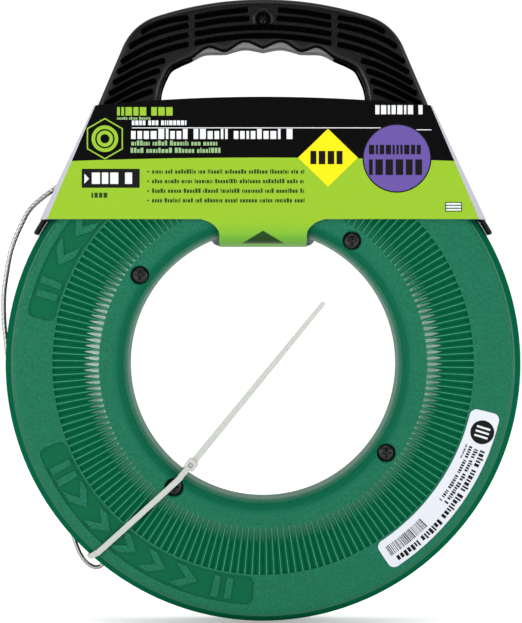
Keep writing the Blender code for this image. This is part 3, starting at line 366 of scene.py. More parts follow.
INK_WHITE = ink("print_white", (0.6, 0.61, 0.63))
INK_BLACK = ink("print_black", (0.002, 0.002, 0.0022))
INK_LIME = ink("print_lime", LIME)
INK_SAGE = ink("print_sage", (0.23, 0.37, 0.17))
INK_DARK = ink("print_dark_green", (0.012, 0.045, 0.006))
INK_YELLOW = ink("print_yellow", (0.68, 0.58, 0.004))
INK_PURPLE = ink("print_purple", (0.1, 0.062, 0.26))


# ---- building helpers
def hand_over(made, body, replaces=(), smooth=35):
    """Give a finished piece its body and shading, and hide the imported parts it replaces."""
    kept = [edge.index for edge in made.data.edges if edge.use_edge_sharp]
    made.data.shade_smooth()
    made.data.set_sharp_from_angle(angle=radians(smooth))
    for index in kept:
        made.data.edges[index].use_edge_sharp = True
    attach(made, body)
    if replaces:
        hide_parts(*replaces)


def linked(name, data):
    made = bpy.data.objects.new(name, data)
    bpy.context.scene.collection.objects.link(made)
    return made


def place_mesh(name, points, faces, finish=()):
    """A mesh object from points in the local frame, with one finish or a list of them."""
    at = np.asarray(points, float).reshape(-1, 3)
    moved = np.stack([at[:, 0], -at[:, 2], at[:, 1] + AXIS_Z], axis=1)
    mesh = bpy.data.meshes.new(name)
    mesh.from_pydata(moved.tolist(), [], [list(f) for f in faces])
    for material in finish if isinstance(finish, (list, tuple)) else [finish]:
        mesh.materials.append(material)
    return linked(name, mesh)


@contextmanager
def editing(mesh):
    shape = bmesh.new()
    shape.from_mesh(mesh)
    yield shape
    shape.to_mesh(mesh)
    shape.free()


def evaluated(made):
    """A mesh of the object with its modifiers or its curve's bevels applied."""
    bpy.context.view_layer.update()
    graph = bpy.context.evaluated_depsgraph_get()
    return bpy.data.meshes.new_from_object(made.evaluated_get(graph), depsgraph=graph)


def combine(made, steps):
    """Apply a list of (operation, tool) booleans, and drop the tools."""
    for operation, tool in steps:
        step = made.modifiers.new(tool.name, "BOOLEAN")
        step.operation = operation
        step.object = tool
        step.solver = "EXACT"
    mesh = evaluated(made)
    made.modifiers.clear()
    with editing(mesh) as shape:
        bmesh.ops.remove_doubles(shape, verts=shape.verts, dist=WELD)
        bmesh.ops.dissolve_degenerate(shape, edges=shape.edges, dist=WELD)
        bmesh.ops.recalc_face_normals(shape, faces=shape.faces)
    made.data = mesh
    for _, tool in steps:
        bpy.data.objects.remove(tool, do_unlink=True)


def outline_solid(name, loops, low, high, edge=0.0, resolution=3, finish=()):
    """Outlines in the local XY plane made solid from low to high, with rounded corners."""
    curve = bpy.data.curves.new(name, "CURVE")
    curve.dimensions = "2D"
    curve.fill_mode = "BOTH"
    curve.extrude = (high - low) / 2 - edge
    curve.bevel_depth = edge
    curve.bevel_resolution = resolution
    curve.offset = -edge
    for loop in loops:
        spline = curve.splines.new("POLY")
        spline.points.add(len(loop) - 1)
        for point, (x, y) in zip(spline.points, loop):
            point.co = (x, y, 0, 1)
        spline.use_cyclic_u = True
    holder = linked(name, curve)
    mesh = evaluated(holder)
    bpy.data.objects.remove(holder, do_unlink=True)
    with editing(mesh) as shape:
        bmesh.ops.remove_doubles(shape, verts=shape.verts, dist=WELD)
        bmesh.ops.recalc_face_normals(shape, faces=shape.faces)
    lift = (low + high) / 2
    points = [(v.co.x, v.co.y, v.co.z + lift) for v in mesh.vertices]
    return place_mesh(name, points, [face.vertices for face in mesh.polygons], finish)


def polar(radius, angle):
    return radius * cos(radians(angle)), radius * sin(radians(angle))


def arc(radius, start, end, steps, centre=(0, 0)):
    return [(centre[0] + polar(radius, a)[0], centre[1] + polar(radius, a)[1])
            for a in np.linspace(start, end, steps + 1)]


def sector(inner, outer, start, end, steps):
    return arc(outer, start, end, steps) + arc(inner, end, start, steps)


def smoothed(points, parts):
    points = [Vector(p) for p in points]
    ends = [2 * points[0] - points[1], *points, 2 * points[-1] - points[-2]]
    curve = []
    for a, b, c, d in zip(ends, ends[1:], ends[2:], ends[3:]):
        for k in range(parts):
            t = k / parts
            bend = (2 * a - 5 * b + 4 * c - d) * t * t + (3 * b - a - 3 * c + d) * t**3
            curve.append(b + ((c - a) * t + bend) / 2)
    return [*curve, points[-1]]


def mirrored(points):
    return [(-x, y) for x, y in reversed(points)]


def turned(name, profile, steps, at=(0, 0, 0), finish=(), ahead=(0, 0, 1), closed=False):
    """A profile of (radius, height) turned about a line through at, along ahead."""
    origin, turn = Vector((*at, 0)[:3]), Vector(ahead).to_track_quat("Z", "Y")
    points, faces, rings = [], [], []
    for radius, height in profile:
        ring = []
        count = 1 if radius == 0 else steps
        for k in range(count):
            spot = Vector((*polar(radius, 360 * k / steps), height))
            ring.append(len(points))
            points.append(origin + turn @ spot)
        rings.append(ring)
    pairs = list(zip(rings, rings[1:]))
    if closed:
        pairs.append((rings[-1], rings[0]))
    for a, b in pairs:
        for k in range(steps):
            n = (k + 1) % steps
            face = [a[k % len(a)], b[k % len(b)], b[n % len(b)], a[n % len(a)]]
            face = [v for i, v in enumerate(face) if v not in face[:i]]
            if len(face) > 2:
                faces.append(face)
    return tidy_normals(place_mesh(name, points, faces, finish))


def cylinder(name, radius, low, high, steps, at, **more):
    return turned(name, [(0, low), (radius, low), (radius, high), (0, high)], steps, at, **more)


def tidy_normals(made):
    with editing(made.data) as shape:
        bmesh.ops.recalc_face_normals(shape, faces=shape.faces)
    return made


def ring_faces(rings, sides, closed=False):
    """The faces of a tube of rings of points, with both ends capped unless it is closed."""
    faces = []
    for i in range(rings if closed else rings - 1):
        a, b = i * sides, (i + 1) % rings * sides
        for k in range(sides):
            n = (k + 1) % sides
            faces.append((a + k, a + n, b + n, b + k))
    if not closed:
        faces.append(tuple(range(sides))[::-1])
        faces.append(tuple((rings - 1) * sides + k for k in range(sides)))
    return faces


def tube(name, points, radius, sides, finish, closed=False, lobes=None):
    """A tube along points, its section round or shaped by lobes(angle, length along)."""
    spots, points = [], [Vector(p) for p in points]
    normal, run, before = Vector((0, 0, 1)), 0.0, points[0]
    for i, point in enumerate(points):
        after = points[(i + 1) % len(points)] if closed else points[min(i + 1, len(points) - 1)]
        prior = points[i - 1] if closed or i else points[0]
        ahead = (after - prior).normalized()
        side = normal.cross(ahead).normalized()
        run += (point - before).length
        before = point
        for k in range(sides):
            turn = 2 * pi * k / sides
            size = lobes(turn, run) if lobes else radius
            spots.append(point + (side * cos(turn) + normal * sin(turn)) * size)
    return tidy_normals(place_mesh(name, spots, ring_faces(len(points), sides, closed), finish))


def layers(loops, levels):
    """A closed solid from outlines with the same number of points, one above another."""
    points = [(x, y, d) for loop, d in zip(loops, levels) for x, y in loop]
    return points, ring_faces(len(loops), len(loops[0]))


def gathered(name, solids, finish=()):
    """Several closed solids, as (points, faces), in one mesh."""
    points, faces = [], []
    for more, sides in solids:
        start = len(points)
        points += more
        faces += [tuple(start + v for v in f) for f in sides]
    return tidy_normals(place_mesh(name, points, faces, finish))


def prisms(name, outlines, low, high, finish=()):
    """Plain prisms on flat outlines."""
    return gathered(name, [layers((o, o), (low, high)) for o in outlines], finish)


# ---- case
def shell_rows(rear):
    """The shell's section as rows of (radius, depth, kind), clockwise from its ribs' inner end."""
    rows = [(RIB_INNER, CASE_HALF, "edge"), (0, 0, "ramp"), (RIB_OUTER - 0.0002, 0, "floor"),
            (RIB_OUTER, CASE_HALF, "edge")]
    rows += [(r, d, "") for r, d in RIM_ROWS]
    lip = SLOT_HALF + 0.002
    inner = [(RIM_RADIUS - WALL, SLOT_HALF), (RIM_RADIUS - WALL, lip), (0.1531, INSIDE_HALF),
             (HUB_TOP_RADIUS, INSIDE_HALF), (0.0895, 0.0270), (0.0872, 0.0245), (0.0862, 0.0215)]
    wall, tongue, length = 0.086, 0.0847, 0.002
    if rear:
        step = tongue - FIT
        joint = [(wall, length + SEAM), (step, length + SEAM), (step, SEAM)]
    else:
        joint = [(wall, SEAM - length), (tongue, SEAM - length), (tongue, SEAM)]
    hub = [*joint, (HUB_RADIUS + 0.0002, SEAM), (HUB_RADIUS, SEAM + 0.0002)]
    foot = CASE_HALF - HUB_FILLET_DEPTH
    hub += [(HUB_RADIUS + 0.0003, foot / 2), (HUB_RADIUS + 0.0006, foot)]
    for k in range(1, 15):
        turn = pi / 2 * (1 - k / 15)
        hub.append((HUB_TOP_RADIUS - HUB_FILLET * sin(turn), foot + HUB_FILLET_DEPTH * cos(turn)))
    hub += [(HUB_TOP_RADIUS, CASE_HALF), (0.0955, CASE_HALF), (0.1002, CASE_HALF)]
    return rows + [(r, d, "") for r, d in inner + hub]


def shell(name, rear):
    """One moulded half of the case, its ribs cut as a fan of shallow troughs."""
    side = -1 if rear else 1
    points, faces, rings = [], [], []
    for radius, depth, kind in shell_rows(rear):
        ring = []
        for cell in range(CELLS):
            columns = RIB_COLUMNS if kind else ((0, 1),)
            for place, share in columns:
                r, d = radius, depth
                if kind in ("ramp", "floor"):
                    d = CASE_HALF - RIB_DEPTH * share
                if kind == "ramp":
                    r = RIB_INNER + 0.0003 + RIB_RAMP * share
                ring.append(len(points))
                points.append((*polar(r, (cell + place) * 360 / CELLS), side * d))
        rings.append(ring)
    for a, b in zip(rings, rings[1:] + rings[:1]):
        same, wide = len(a) == len(b), max(len(a), len(b)) // CELLS
        for k in range(len(a) if same else CELLS):
            if same:
                n = (k + 1) % len(a)
                face = [a[k], b[k], b[n], a[n]]
            else:
                fan = [k * wide + i for i in range(wide + 1)]
                n = (k + 1) % CELLS
                if len(a) > len(b):
                    face = [a[fan[0]], b[k], b[n], *(a[i % len(a)] for i in reversed(fan[1:]))]
                else:
                    face = [a[k], *(b[i % len(b)] for i in fan), a[n]]
            faces.append(face[::-1] if rear else face)
    made = place_mesh(f"{name}_moulded", points, faces, CASE_FINISHES)
    steps = []
    sky = CASE_HALF + 0.004
    for start, end in POCKETS:
        low, high = sorted((side * (CASE_HALF - POCKET_DEPTH), side * sky))
        steps.append((CUT, prisms("pocket", [pocket_outline(start, end)], low, high)))
    roof = INSIDE_HALF + 0.0004
    for angle in SCREW_ANGLES:
        at = polar(SCREW_CIRCLE, angle)
        ends = sorted((side * SEAM, side * roof))
        steps.append((ADD, cylinder("boss", BOSS_RADIUS, *ends, 32, at)))
    for angle in SCREW_ANGLES:
        at = polar(SCREW_CIRCLE, angle)
        bore = SHANK_RADIUS + FIT
        if rear:
            steps.append((CUT, cylinder("bore", bore, -BORE_DEPTH, 0.002, 24, at)))
            continue
        rim = COUNTERBORE + 0.0005
        profile = [(0, -0.002), (bore, -0.002), (bore, SCREW_SEAT), (COUNTERBORE, SCREW_SEAT),
                   (COUNTERBORE, CASE_HALF - 0.0005), (rim, CASE_HALF), (rim, sky), (0, sky)]
        steps.append((CUT, turned("bore", profile, 48, at)))
    floor = side * (CASE_HALF - POCKET_DEPTH)
    for start, end in POCKETS:
        low, high = sorted((floor - side * 0.0003, side * (CASE_HALF - 0.00004)))
        steps.append((ADD, prisms("relief", relief_outlines(start, end, rear), low, high)))
    combine(made, steps)
    finish_faces(made, side)
    hand_over(made, "reel", [name], 32)


CASE_FINISHES = [GREEN, GREEN_SMOOTH_SHADED, GREEN_WALL_SHADE, GREEN_GLOSS, GREEN_CREST_HIGHLIGHT, *GREEN_FILLET_SHADES]
GRAINED, SMOOTH_SHADED, MATT_WALL_SHADE, GLOSSY, CREST_HIGHLIGHT, SHADED_FILLET = range(6)


def finish_faces(made, side):
    """Grained outside; smooth troughs and pocket floors, their darker base a painted shade; the outer
    wall and the hub's fillet in darker copies, painted shade; glossy ramps; rib crests in a paler
    copy, a painted highlight.
    """
    for face in made.data.polygons:
        x, y, z = face.center
        depth, radius = side * -y, hypot(x, z - AXIS_Z)
        flat = abs(face.normal.y) > 0.999
        outward = (face.normal.x * x + face.normal.z * (z - AXIS_Z)) / radius > 0.2
        kind = GRAINED
        # The outer wall takes the darker colour: painted shade.
        if radius > WALL_FROM and outward:
            kind = MATT_WALL_SHADE
        elif radius > LEDGE_FROM[0] and depth > LEDGE_FROM[1]:
            kind = GLOSSY
        elif POCKETS_FROM < radius < POCKETS_TO and abs(depth - CASE_HALF + POCKET_DEPTH) < 0.0001:
            kind = SMOOTH_SHADED
        elif depth < INSIDE_HALF + 0.0002 and HUB_RADIUS + 0.003 < radius < RIM_RADIUS - 0.001:
            kind = SMOOTH_SHADED
        elif RIB_INNER < radius < RIB_OUTER and depth > CASE_HALF - RIB_DEPTH - 0.0004:
            # Flat crests take the paler colour, a painted highlight; troughs take the darker smooth
            # finish, partly painted shade.
            on_top = flat and depth > CASE_HALF - 0.0001
            on_ramp = radius < RIB_INNER + RIB_RAMP * 0.8 and not flat
            kind = CREST_HIGHLIGHT if on_top else GLOSSY if on_ramp else SMOOTH_SHADED
        # Fillet faces take darker colours in steps towards the hole: painted shade.
        elif SHADED_FILLET_FROM < radius < HUB_TOP_RADIUS:
            kind = SHADED_FILLET + sum(radius < limit for limit in SHADED_FILLET_STEPS)
        face.material_index = kind
    sharp_between(made)


def sharp_between(made):
    """Mark the edges of the glossy regions and of the crests' painted highlight sharp, so that each
    keeps its own shading.
    """
    with editing(made.data) as shape:
        for edge in shape.edges:
            kinds = {face.material_index for face in edge.link_faces}
            edge.smooth = not (kinds & {GLOSSY, CREST_HIGHLIGHT} and len(kinds) > 1)


def rounded_sector(low, high, start, end, corner, middle, trim=0):
    """A sector with rounded corners. Trim drops that many points at each end of its inner arc."""
    tight = degrees(corner / middle)
    near, far = start + tight, end - tight
    outline = arc(high, near, far, 40)
    for first, angle, radius, spot in ((0, end, high - corner, far), (90, end, low + corner, far),
                                       (180, start, low + corner, near),
                                       (270, start, high - corner, near)):
        if first == 180:
            outline += arc(low, far, near, 40)[trim:41 - trim]
        outline += arc(corner, angle + first, angle + first + 90, 6, polar(radius, spot))
    return outline


def pocket_outline(start, end):
    low, high = RIB_OUTER + POCKET_MARGIN, RING_OUTER - POCKET_MARGIN
    middle = (low + high) / 2
    turn = degrees((high - low) / 2 / middle)
    return rounded_sector(low, high, start - turn, end + turn, POCKET_CORNER, middle, 1)


def relief_outlines(start, end, rear):
    """Generic arrows between two pairs of bars, along a pocket."""
    low, high = RIB_OUTER + POCKET_MARGIN + 0.0021, RING_OUTER - POCKET_MARGIN - 0.0021
    middle = (low + high) / 2
    span = (end - start) / CHEVRONS
    made = []
    for i in range(CHEVRONS):
        at = start + span * (i + 0.5)
        if i in (0, CHEVRONS - 1):
            made += [sector(low, high, at + near, at + near + 1.7, 3) for near in (-2.6, 0.7)]
            continue
        lean = -1.9 if rear else 1.9
        outer = [polar(high, at - lean), polar(middle, at + lean), polar(low, at - lean)]
        back = -3.0 if lean > 0 else 3.0
        inner = [polar(low, at - lean + back), polar(middle, at + lean + back),
                 polar(high, at - lean + back)]
        made.append(outer + inner)
    return made


def screw(name, body, at, seat, head, length):
    """A pan-head screw with a tapered cross recess and a threaded shank."""
    shank = SHANK_RADIUS
    profile = [(r * head, h * head) for r, h in HEAD_PROFILE] + [(shank, 0)]
    down = 0.0015
    while down < length - 0.001:
        profile += [(shank, -down), (shank * 0.8, -down - 0.0004), (shank * 0.8, -down - 0.0007)]
        down += 0.0011
    profile += [(shank * 0.7, -length), (0, -length)]
    made = turned(f"{name}_turned", [(r, seat + h) for r, h in profile], 40, at, SCREW)
    loops, levels = [], []
    for drop, arm, half in CROSS_LEVELS:
        quarter = [(half, half), (arm, half * 0.72), (arm, -half * 0.72)]
        loop = []
        for k in range(4):
            c, s = round(cos(-pi / 2 * k)), round(sin(-pi / 2 * k))
            loop += [(at[0] + head * (x * c - y * s), at[1] + head * (x * s + y * c))
                     for x, y in quarter]
        loops.append(loop)
        levels.append(seat + head * (0.49 - drop))
    combine(made, [(CUT, gathered("recess", [layers(loops, levels)]))])
    hand_over(made, body, [name], 30)


def tape_coil():
    """The wound tape: turns side by side, each a stack of layers."""
    wide = 2 * COIL_HALF / COIL_TURNS
    profile = []
    for i in range(COIL_TURNS):
        low = -COIL_HALF + wide * i
        for share, sink in ((0.03, 0.0007), (0.12, 0.0001), (0.5, 0), (0.88, 0.0001),
                            (0.97, 0.0007)):
            profile.append((COIL_OUTER - sink, low + wide * share))
    thick = (COIL_OUTER - COIL_INNER) / COIL_LAYERS
    for side in (1, -1):
        for i in range(COIL_LAYERS)[::side]:
            top, dip = COIL_OUTER - thick * i, side * (COIL_HALF - 0.0003)
            row = [(top - 0.00015, dip), (top - thick / 2, side * COIL_HALF),
                   (top - thick + 0.00015, dip)]
            profile += row[::side]
    made = turned("wound_tape", profile, 144, finish=STEEL, closed=True)
    hand_over(made, "reel", ["tape_coil"], 30)


# ---- label
def label():
    """A curved white film sticker with generic printing."""
    outline = rounded_sector(*LABEL_RADII, *LABEL_ANGLES, LABEL_CORNER, LABEL_MIDDLE)
    film = prisms("label_film", [outline], *LABEL_LEVELS, PAPER)
    hand_over(film, "reel", ["case_label"])
    top = LABEL_LEVELS[1] - 0.00001
    marks = [arc(DISC_RADIUS, 0, 354, 59, polar(*DISC_PLACE))]
    for line in LABEL_LINES:
        marks += polar_words(*line)
    at = STRIPE_ANGLES[1]
    while at > STRIPE_ANGLES[0]:
        wide = CHANCE.choice((0.12, 0.12, 0.2, 0.3))
        marks.append(sector(*STRIPE_RADII, at - wide, at, 1))
        at -= wide + CHANCE.choice((0.14, 0.2, 0.3))
    printed = prisms("label_print", marks, top, top + INK, INK_BLACK)
    hand_over(printed, "reel")
    middle, (long, wide, gap) = Vector(polar(*DISC_PLACE)), DISC_BAR
    along, across = Vector(polar(1, DISC_PLACE[1] - 90)), Vector(polar(1, DISC_PLACE[1]))
    cuts = [[tuple(middle + along * shift + along * (a * wide / 2) + across * (b * long / 2))
             for a, b in ((1, 1), (-1, 1), (-1, -1), (1, -1))] for shift in (-gap, 0.0, gap)]
    bars = prisms("label_disc_marks", cuts, top + INK, top + 2 * INK, INK_WHITE)
    hand_over(bars, "reel")


def polar_words(radius, height, start, end, weight):
    """Rows of small blocks round an arc, like a line of print seen from afar."""
    made, at = [], end
    turn = degrees(height / radius)
    while at > start:
        for _ in range(CHANCE.randint(3, 8)):
            wide = turn * CHANCE.choice((0.3, weight, weight))
            if at - wide < start:
                return made
            tall = CHANCE.choice((0.78, 0.78, 1)) * height
            made.append(sector(radius - height / 2, radius - height / 2 + tall, at - wide, at, 1))
            at -= wide + turn * 0.2
        at -= turn * 0.45
    return made


# ---- grip
def leg_line():
    return Vector(polar(1, 180 - LEG_SLOPE_ANGLE)), RIM_RADIUS - LEG_INSET


def leg_side(height):
    normal, away = leg_line()
    return (away - normal.y * height) / -normal.x


def leg_angle(radius, inset=0.0):
    return 180 - LEG_SLOPE_ANGLE - degrees(acos((leg_line()[1] - inset) / radius))


def top_centre():
    return Vector((0, RIM_RADIUS + GRIP_TOP_RISE - GRIP_TOP_RADIUS))


def shoulder():
    normal, away = leg_line()
    along = Vector((-normal.y, normal.x)) * -1
    foot = normal * (away - SHOULDER_RADIUS) - top_centre()
    reach = GRIP_TOP_RADIUS - SHOULDER_RADIUS
    half = foot.dot(along)
    step = -half + sqrt(half * half - foot.length_squared + reach * reach)
    return top_centre() + foot + along * step


def grip_outer_half(inset=0.0):
    centre, top = shoulder(), top_centre()
    meet = degrees(atan2(centre.y - top.y, centre.x - top.x))
    points = arc(GRIP_TOP_RADIUS - inset, 90, meet, 24, top)
    return points + arc(SHOULDER_RADIUS - inset, meet, 180 - LEG_SLOPE_ANGLE, 20, centre)[1:]


def finger_side():
    points = [(0, 0), (-0.0118, 0.0042), (-0.0232, -0.0018), (-0.0340, 0.0006),
              (-INSERT_HALF_LENGTH, -0.0057), (-0.0516, -0.0092), (-0.0572, -0.0125),
              (-0.0602, -0.0176), (-0.0628, -0.0240), (0.0007 - OPENING_HALF, -0.0312),
              (-OPENING_HALF, -0.0392)]
    line = smoothed([(x, y, 0) for x, y in points], 9)
    return [(p.x, p.y + RIM_RADIUS + GRIP_RISE) for p in line]


def grip_loops():
    foot = leg_angle(RIM_RADIUS)
    left = grip_outer_half() + [polar(RIM_RADIUS, foot)]
    left += arc(RIM_RADIUS - 0.013, foot - 3, 90, 24)
    outline = left + mirrored(left)[1:-1]
    sill = RIM_RADIUS - 0.0035
    foot = degrees(acos(OPENING_HALF / sill))
    half = finger_side() + arc(sill, 180 - foot, 90, 16)
    return [outline, half + mirrored(half)[1:-1]]


def cavity_loop():
    low = BAND_OUTER + GRIP_WALL
    side = OPENING_HALF + GRIP_WALL
    rise = RIM_RADIUS + GRIP_RISE
    left = grip_outer_half(GRIP_WALL)
    left += arc(low, leg_angle(low, GRIP_WALL), 180 - degrees(acos(side / low)), 6)
    left += [(0.0015 - side, rise - 0.0230), (0.0045 - side, rise - 0.0150),
             (0.0085 - side, rise - 0.0090), (-0.0540, rise - 0.0047), (-0.0485, rise - 0.0017),
             (-0.0478, rise + 0.0023)]
    centre = (0, RIM_RADIUS + INSERT_TOP_RISE + GRIP_WALL - INSERT_ARCH)
    left += arc(INSERT_ARCH, 105, 90, 8, centre)
    return left + mirrored(left)[1:-1]


def insert_loop(grow=0.0, drop=0.0):
    edge = INSERT_HALF_LENGTH + grow
    points = [(0, -INSERT_DROP, 0), (-0.0115, 0.0010, 0), (-0.0240, -0.0018, 0),
              (-0.0360, -0.0023, 0), (-edge, -0.0057, 0)]
    wave = [(p.x, p.y + RIM_RADIUS + GRIP_RISE - drop) for p in smoothed(points, 9)]
    top = RIM_RADIUS + INSERT_TOP_RISE + grow - INSERT_ARCH
    turn = degrees(acos(edge / INSERT_ARCH))
    half = wave + arc(INSERT_ARCH, 180 - turn, 90, 10, (0, top))
    return half + mirrored(half)[1:-1]


def band_loop():
    end = 180 - BAND_END_ANGLE
    centre = polar((BAND_INNER + BAND_OUTER) / 2, end)
    cap = arc((BAND_OUTER - BAND_INNER) / 2, end, end + 180, 8, centre)[1:-1]
    left = arc(BAND_OUTER, 90, end, 48) + cap + arc(BAND_INNER, end, 90, 48)
    return left + mirrored(left)[1:-1]


def stadium(path, half):
    """The outline of a stroke of a given half width along a path, with round ends."""
    points = [p.xy for p in path]
    left, right = [], []
    for i, p in enumerate(points):
        ahead = (points[min(i + 1, len(points) - 1)] - points[max(i - 1, 0)]).normalized()
        side = Vector((-ahead.y, ahead.x)) * half
        left.append(tuple(p + side))
        right.append(tuple(p - side))

    def cap(a, b):
        first = degrees(atan2((a - b).y, (a - b).x))
        return arc(half, first - 60, first + 60, 4, tuple(a))

    first, last = cap(points[0], points[1]), cap(points[-1], points[-2])
    return left[::-1] + first + right + last


def grooves(side):
    """Cutters for the grip's ridged face, flared at their tops so that ridges are crowned."""
    paths = []
    for path in MIDDLE_GROOVES:
        if path[0][0] == 0:
            paths.append(mirrored(path)[:-1] + list(path))
        else:
            paths += [list(path), mirrored(path)]
    for path in SHOULDER_GROOVES:
        paths += [list(path), mirrored(path)]
    solids = []
    for path in paths:
        line = smoothed([(x, y, 0) for x, y in path], 5)
        loops = [stadium(line, GROOVE_HALF * flare) for _, flare in GROOVE_FLARE]
        solids.append(layers(loops, [side * (GRIP_HALF + rise) for rise, _ in GROOVE_FLARE]))
    return gathered("grooves", solids)


def plain(name, outline, low, high):
    return prisms(name, [outline], *sorted((low, high)))


def grip_half(name, side):
    """One half of the grip, with its ridged face, cavity, screw bosses and seats."""
    made = outline_solid(f"{name}_moulded", grip_loops(), -GRIP_HALF, GRIP_HALF, GRIP_EDGE, 5,
                         BLACK)
    reach, deep = 0.5, GRIP_HALF - GRIP_WALL
    block = [(-reach, -reach), (reach, -reach), (reach, reach), (-reach, reach)]
    steps = [
        (CUT, plain("rim", arc(BAND_INNER, 0, 359, 359), -0.03, 0.03)),
        (ADD, outline_solid("band", [band_loop()], -BAND_HALF, BAND_HALF, 0.0005, 2)),
        (CUT, plain("other", block, side * SEAM, -side * 0.05)),
        (CUT, plain("cavity", cavity_loop(), -side * 0.01, side * deep)),
    ]
    shoe_screws = [polar(SHOE_SCREW[0], a) for a in (SHOE_SCREW[1], 180 - SHOE_SCREW[1])]
    for at in (TOP_SCREW, *shoe_screws):
        near = SEAM if at == TOP_SCREW else 0.0048
        ends = (side * near, side * (deep + 0.001))
        steps.append((ADD, cylinder("boss", GRIP_BOSS, *ends, 32, at)))
    ring = [(radius, GRIP_HALF + rise) for radius, rise in TOP_RING]
    if side > 0:
        steps.append((ADD, turned("ring", ring, 40, TOP_SCREW, closed=True)))
    for turn in (1, -1):
        for low, high, start, end, half in SHOE_SEATS:
            loop = sector(low, high, start, end, 12)
            loop = loop if turn > 0 else mirrored(loop)
            steps.append((CUT, plain("shoe", loop, -half, half)))
    seat = insert_loop(FIT, 0.012)
    steps.append((CUT, plain("seat", seat, -INSERT_HALF - FIT, INSERT_HALF + FIT)))
    for at in (TOP_SCREW, *shoe_screws):
        bore, head = SHANK_RADIUS + FIT, GRIP_HEAD + FIT
        if side < 0:
            steps.append((CUT, cylinder("bore", bore, 0.0025 - GRIP_HALF, 0.002, 40, at)))
            continue
        seat = GRIP_HALF - (TOP_SCREW_DEPTH if at == TOP_SCREW else SIDE_SCREW_DEPTH)
        profile = [(0, -0.002), (bore, -0.002), (bore, seat), (head, seat),
                   (head, GRIP_HALF + 0.003), (0, GRIP_HALF + 0.003)]
        steps.append((CUT, turned("bore", profile, 40, at)))
    origin, ahead = eyelet_frame()
    for radius, low, high in EXIT_BORES:
        steps.append((CUT, cylinder("exit", radius, low, high, 32, origin, ahead=ahead)))
    steps.append((CUT, grooves(side)))
    combine(made, steps)
    # Groove floors and the finger opening's walls take the darker black: painted shade.
    made.data.materials.append(BLACK_GROOVE_SHADE)
    floor = GRIP_HALF - GROOVE_DEPTH
    for face in made.data.polygons:
        x, y, z = face.center
        depth, lean = side * -y, abs(face.normal.y)
        opening = abs(x) < OPENING_HALF + 0.001 and z - AXIS_Z < RIM_RADIUS + GRIP_RISE + 0.006
        if lean > 0.99 and abs(depth - floor) < 0.00005 or opening and lean < 0.15 and depth < floor:
            face.material_index = 1
    hand_over(made, "handle", [name], 42)


# ---- leader
def rim_points(route):
    return [Vector((*polar(RIM_RADIUS + rise, angle), 0)) for angle, rise in route]


def about_axis(p):
    return degrees(atan2(p.y, p.x)) % 360


def route_part(points, start, end):
    return [p for p in points if start <= about_axis(p) <= end]


def on_route(points, angle):
    for here, there in zip(points, points[1:]):
        low, high = about_axis(here), about_axis(there)
        if low <= angle <= high:
            return here.lerp(there, (angle - low) / (high - low))
    return points[-1]


def eyelet_frame():
    inner, outer = rim_points(p for p in LEADER_ROUTE if p[0] in EXIT_ANGLES)
    return outer, (outer - inner).normalized()


def even(points, gap):
    """The same line with points at an even spacing."""
    points = [Vector(p) for p in points]
    runs = [0.0]
    for a, b in zip(points, points[1:]):
        runs.append(runs[-1] + (b - a).length)
    count = max(2, round(runs[-1] / gap))
    made, i = [], 0
    for k in range(count + 1):
        want = runs[-1] * k / count
        while i < len(runs) - 2 and runs[i + 1] < want:
            i += 1
        share = (want - runs[i]) / (runs[i + 1] - runs[i])
        made.append(points[i].lerp(points[i + 1], min(max(share, 0), 1)))
    return made


def leader():
    """Tape end, crimp, stranded leader, its crimp and the pulling eye."""
    radius = COIL_OUTER + 0.00125
    lead = [(LEAD_START_ANGLE + t, radius / cos(radians(t)) - RIM_RADIUS) for t in (0, 9, 18, 25)]
    line = smoothed(rim_points(lead) + rim_points(LEADER_ROUTE), 8)
    margin = degrees(FIT / RIM_RADIUS)
    cable = route_part(line, FERRULE_ANGLES[1] + margin, EYE_FERRULE_ANGLES[0] - margin)
    cable = even(cable, 0.0005)
    half = LEADER_DIAMETER / 2

    def strands(turn, run):
        twist = turn - 2 * pi * run / STRAND_LAY
        return half * (1 - 0.17 * abs(cos(STRANDS * twist / 2)) ** 3)

    wire = tube("leader_wire", cable, half, STRANDS * 6, STRAND, lobes=strands)
    hand_over(wire, "handle", ["leader_cable"], 60)
    rise = LEADER_ROUTE[-1][1]
    spots = rim_points([(EYE_FERRULE_ANGLES[0] + margin, rise),
                        (EYE_FERRULE_ANGLES[1] - margin, rise)])
    crimp = crimped("eye_crimp", spots, EYE_FERRULE_RADIUS)
    hand_over(crimp, "handle", ["eye_ferrule"])
    spots = [on_route(line, FERRULE_ANGLES[0] + margin), on_route(line, FERRULE_ANGLES[1] - margin)]
    hand_over(crimped("tape_crimp", spots, FERRULE_RADIUS), "handle",
              ["leader_ferrule"])
    ring = rim_points(EYE_ROUTE)
    ring = even(smoothed(ring[-1:] + ring + ring[:2], 8)[8:-16], 0.0006)
    eye = tube("pulling_eye", ring[:-1], EYE_WIRE / 2, 20, STEEL, closed=True)
    hand_over(eye, "handle", ["leader_eye"], 60)
    lip, low, flare = EYELET_LIP, -EYELET_LENGTH, EYELET_BODY + 0.0005
    profile = [(EYELET_BORE + 0.0003, 2 * lip), (flare - 0.0002, 2 * lip), (flare, 2 * lip - 0.0004),
               (flare, lip), (EYELET_BODY, lip), (EYELET_BODY, low), (EYELET_BORE, low),
               (EYELET_BORE, 2 * lip - 0.0006)]
    origin, ahead = eyelet_frame()
    bush = turned("exit_bush", profile, 40, origin, STEEL, ahead, closed=True)
    hand_over(bush, "handle", ["exit_eyelet"], 35)
    path = [(p.x, -p.z, p.y + AXIS_Z) for p in even(cable, 0.004)]


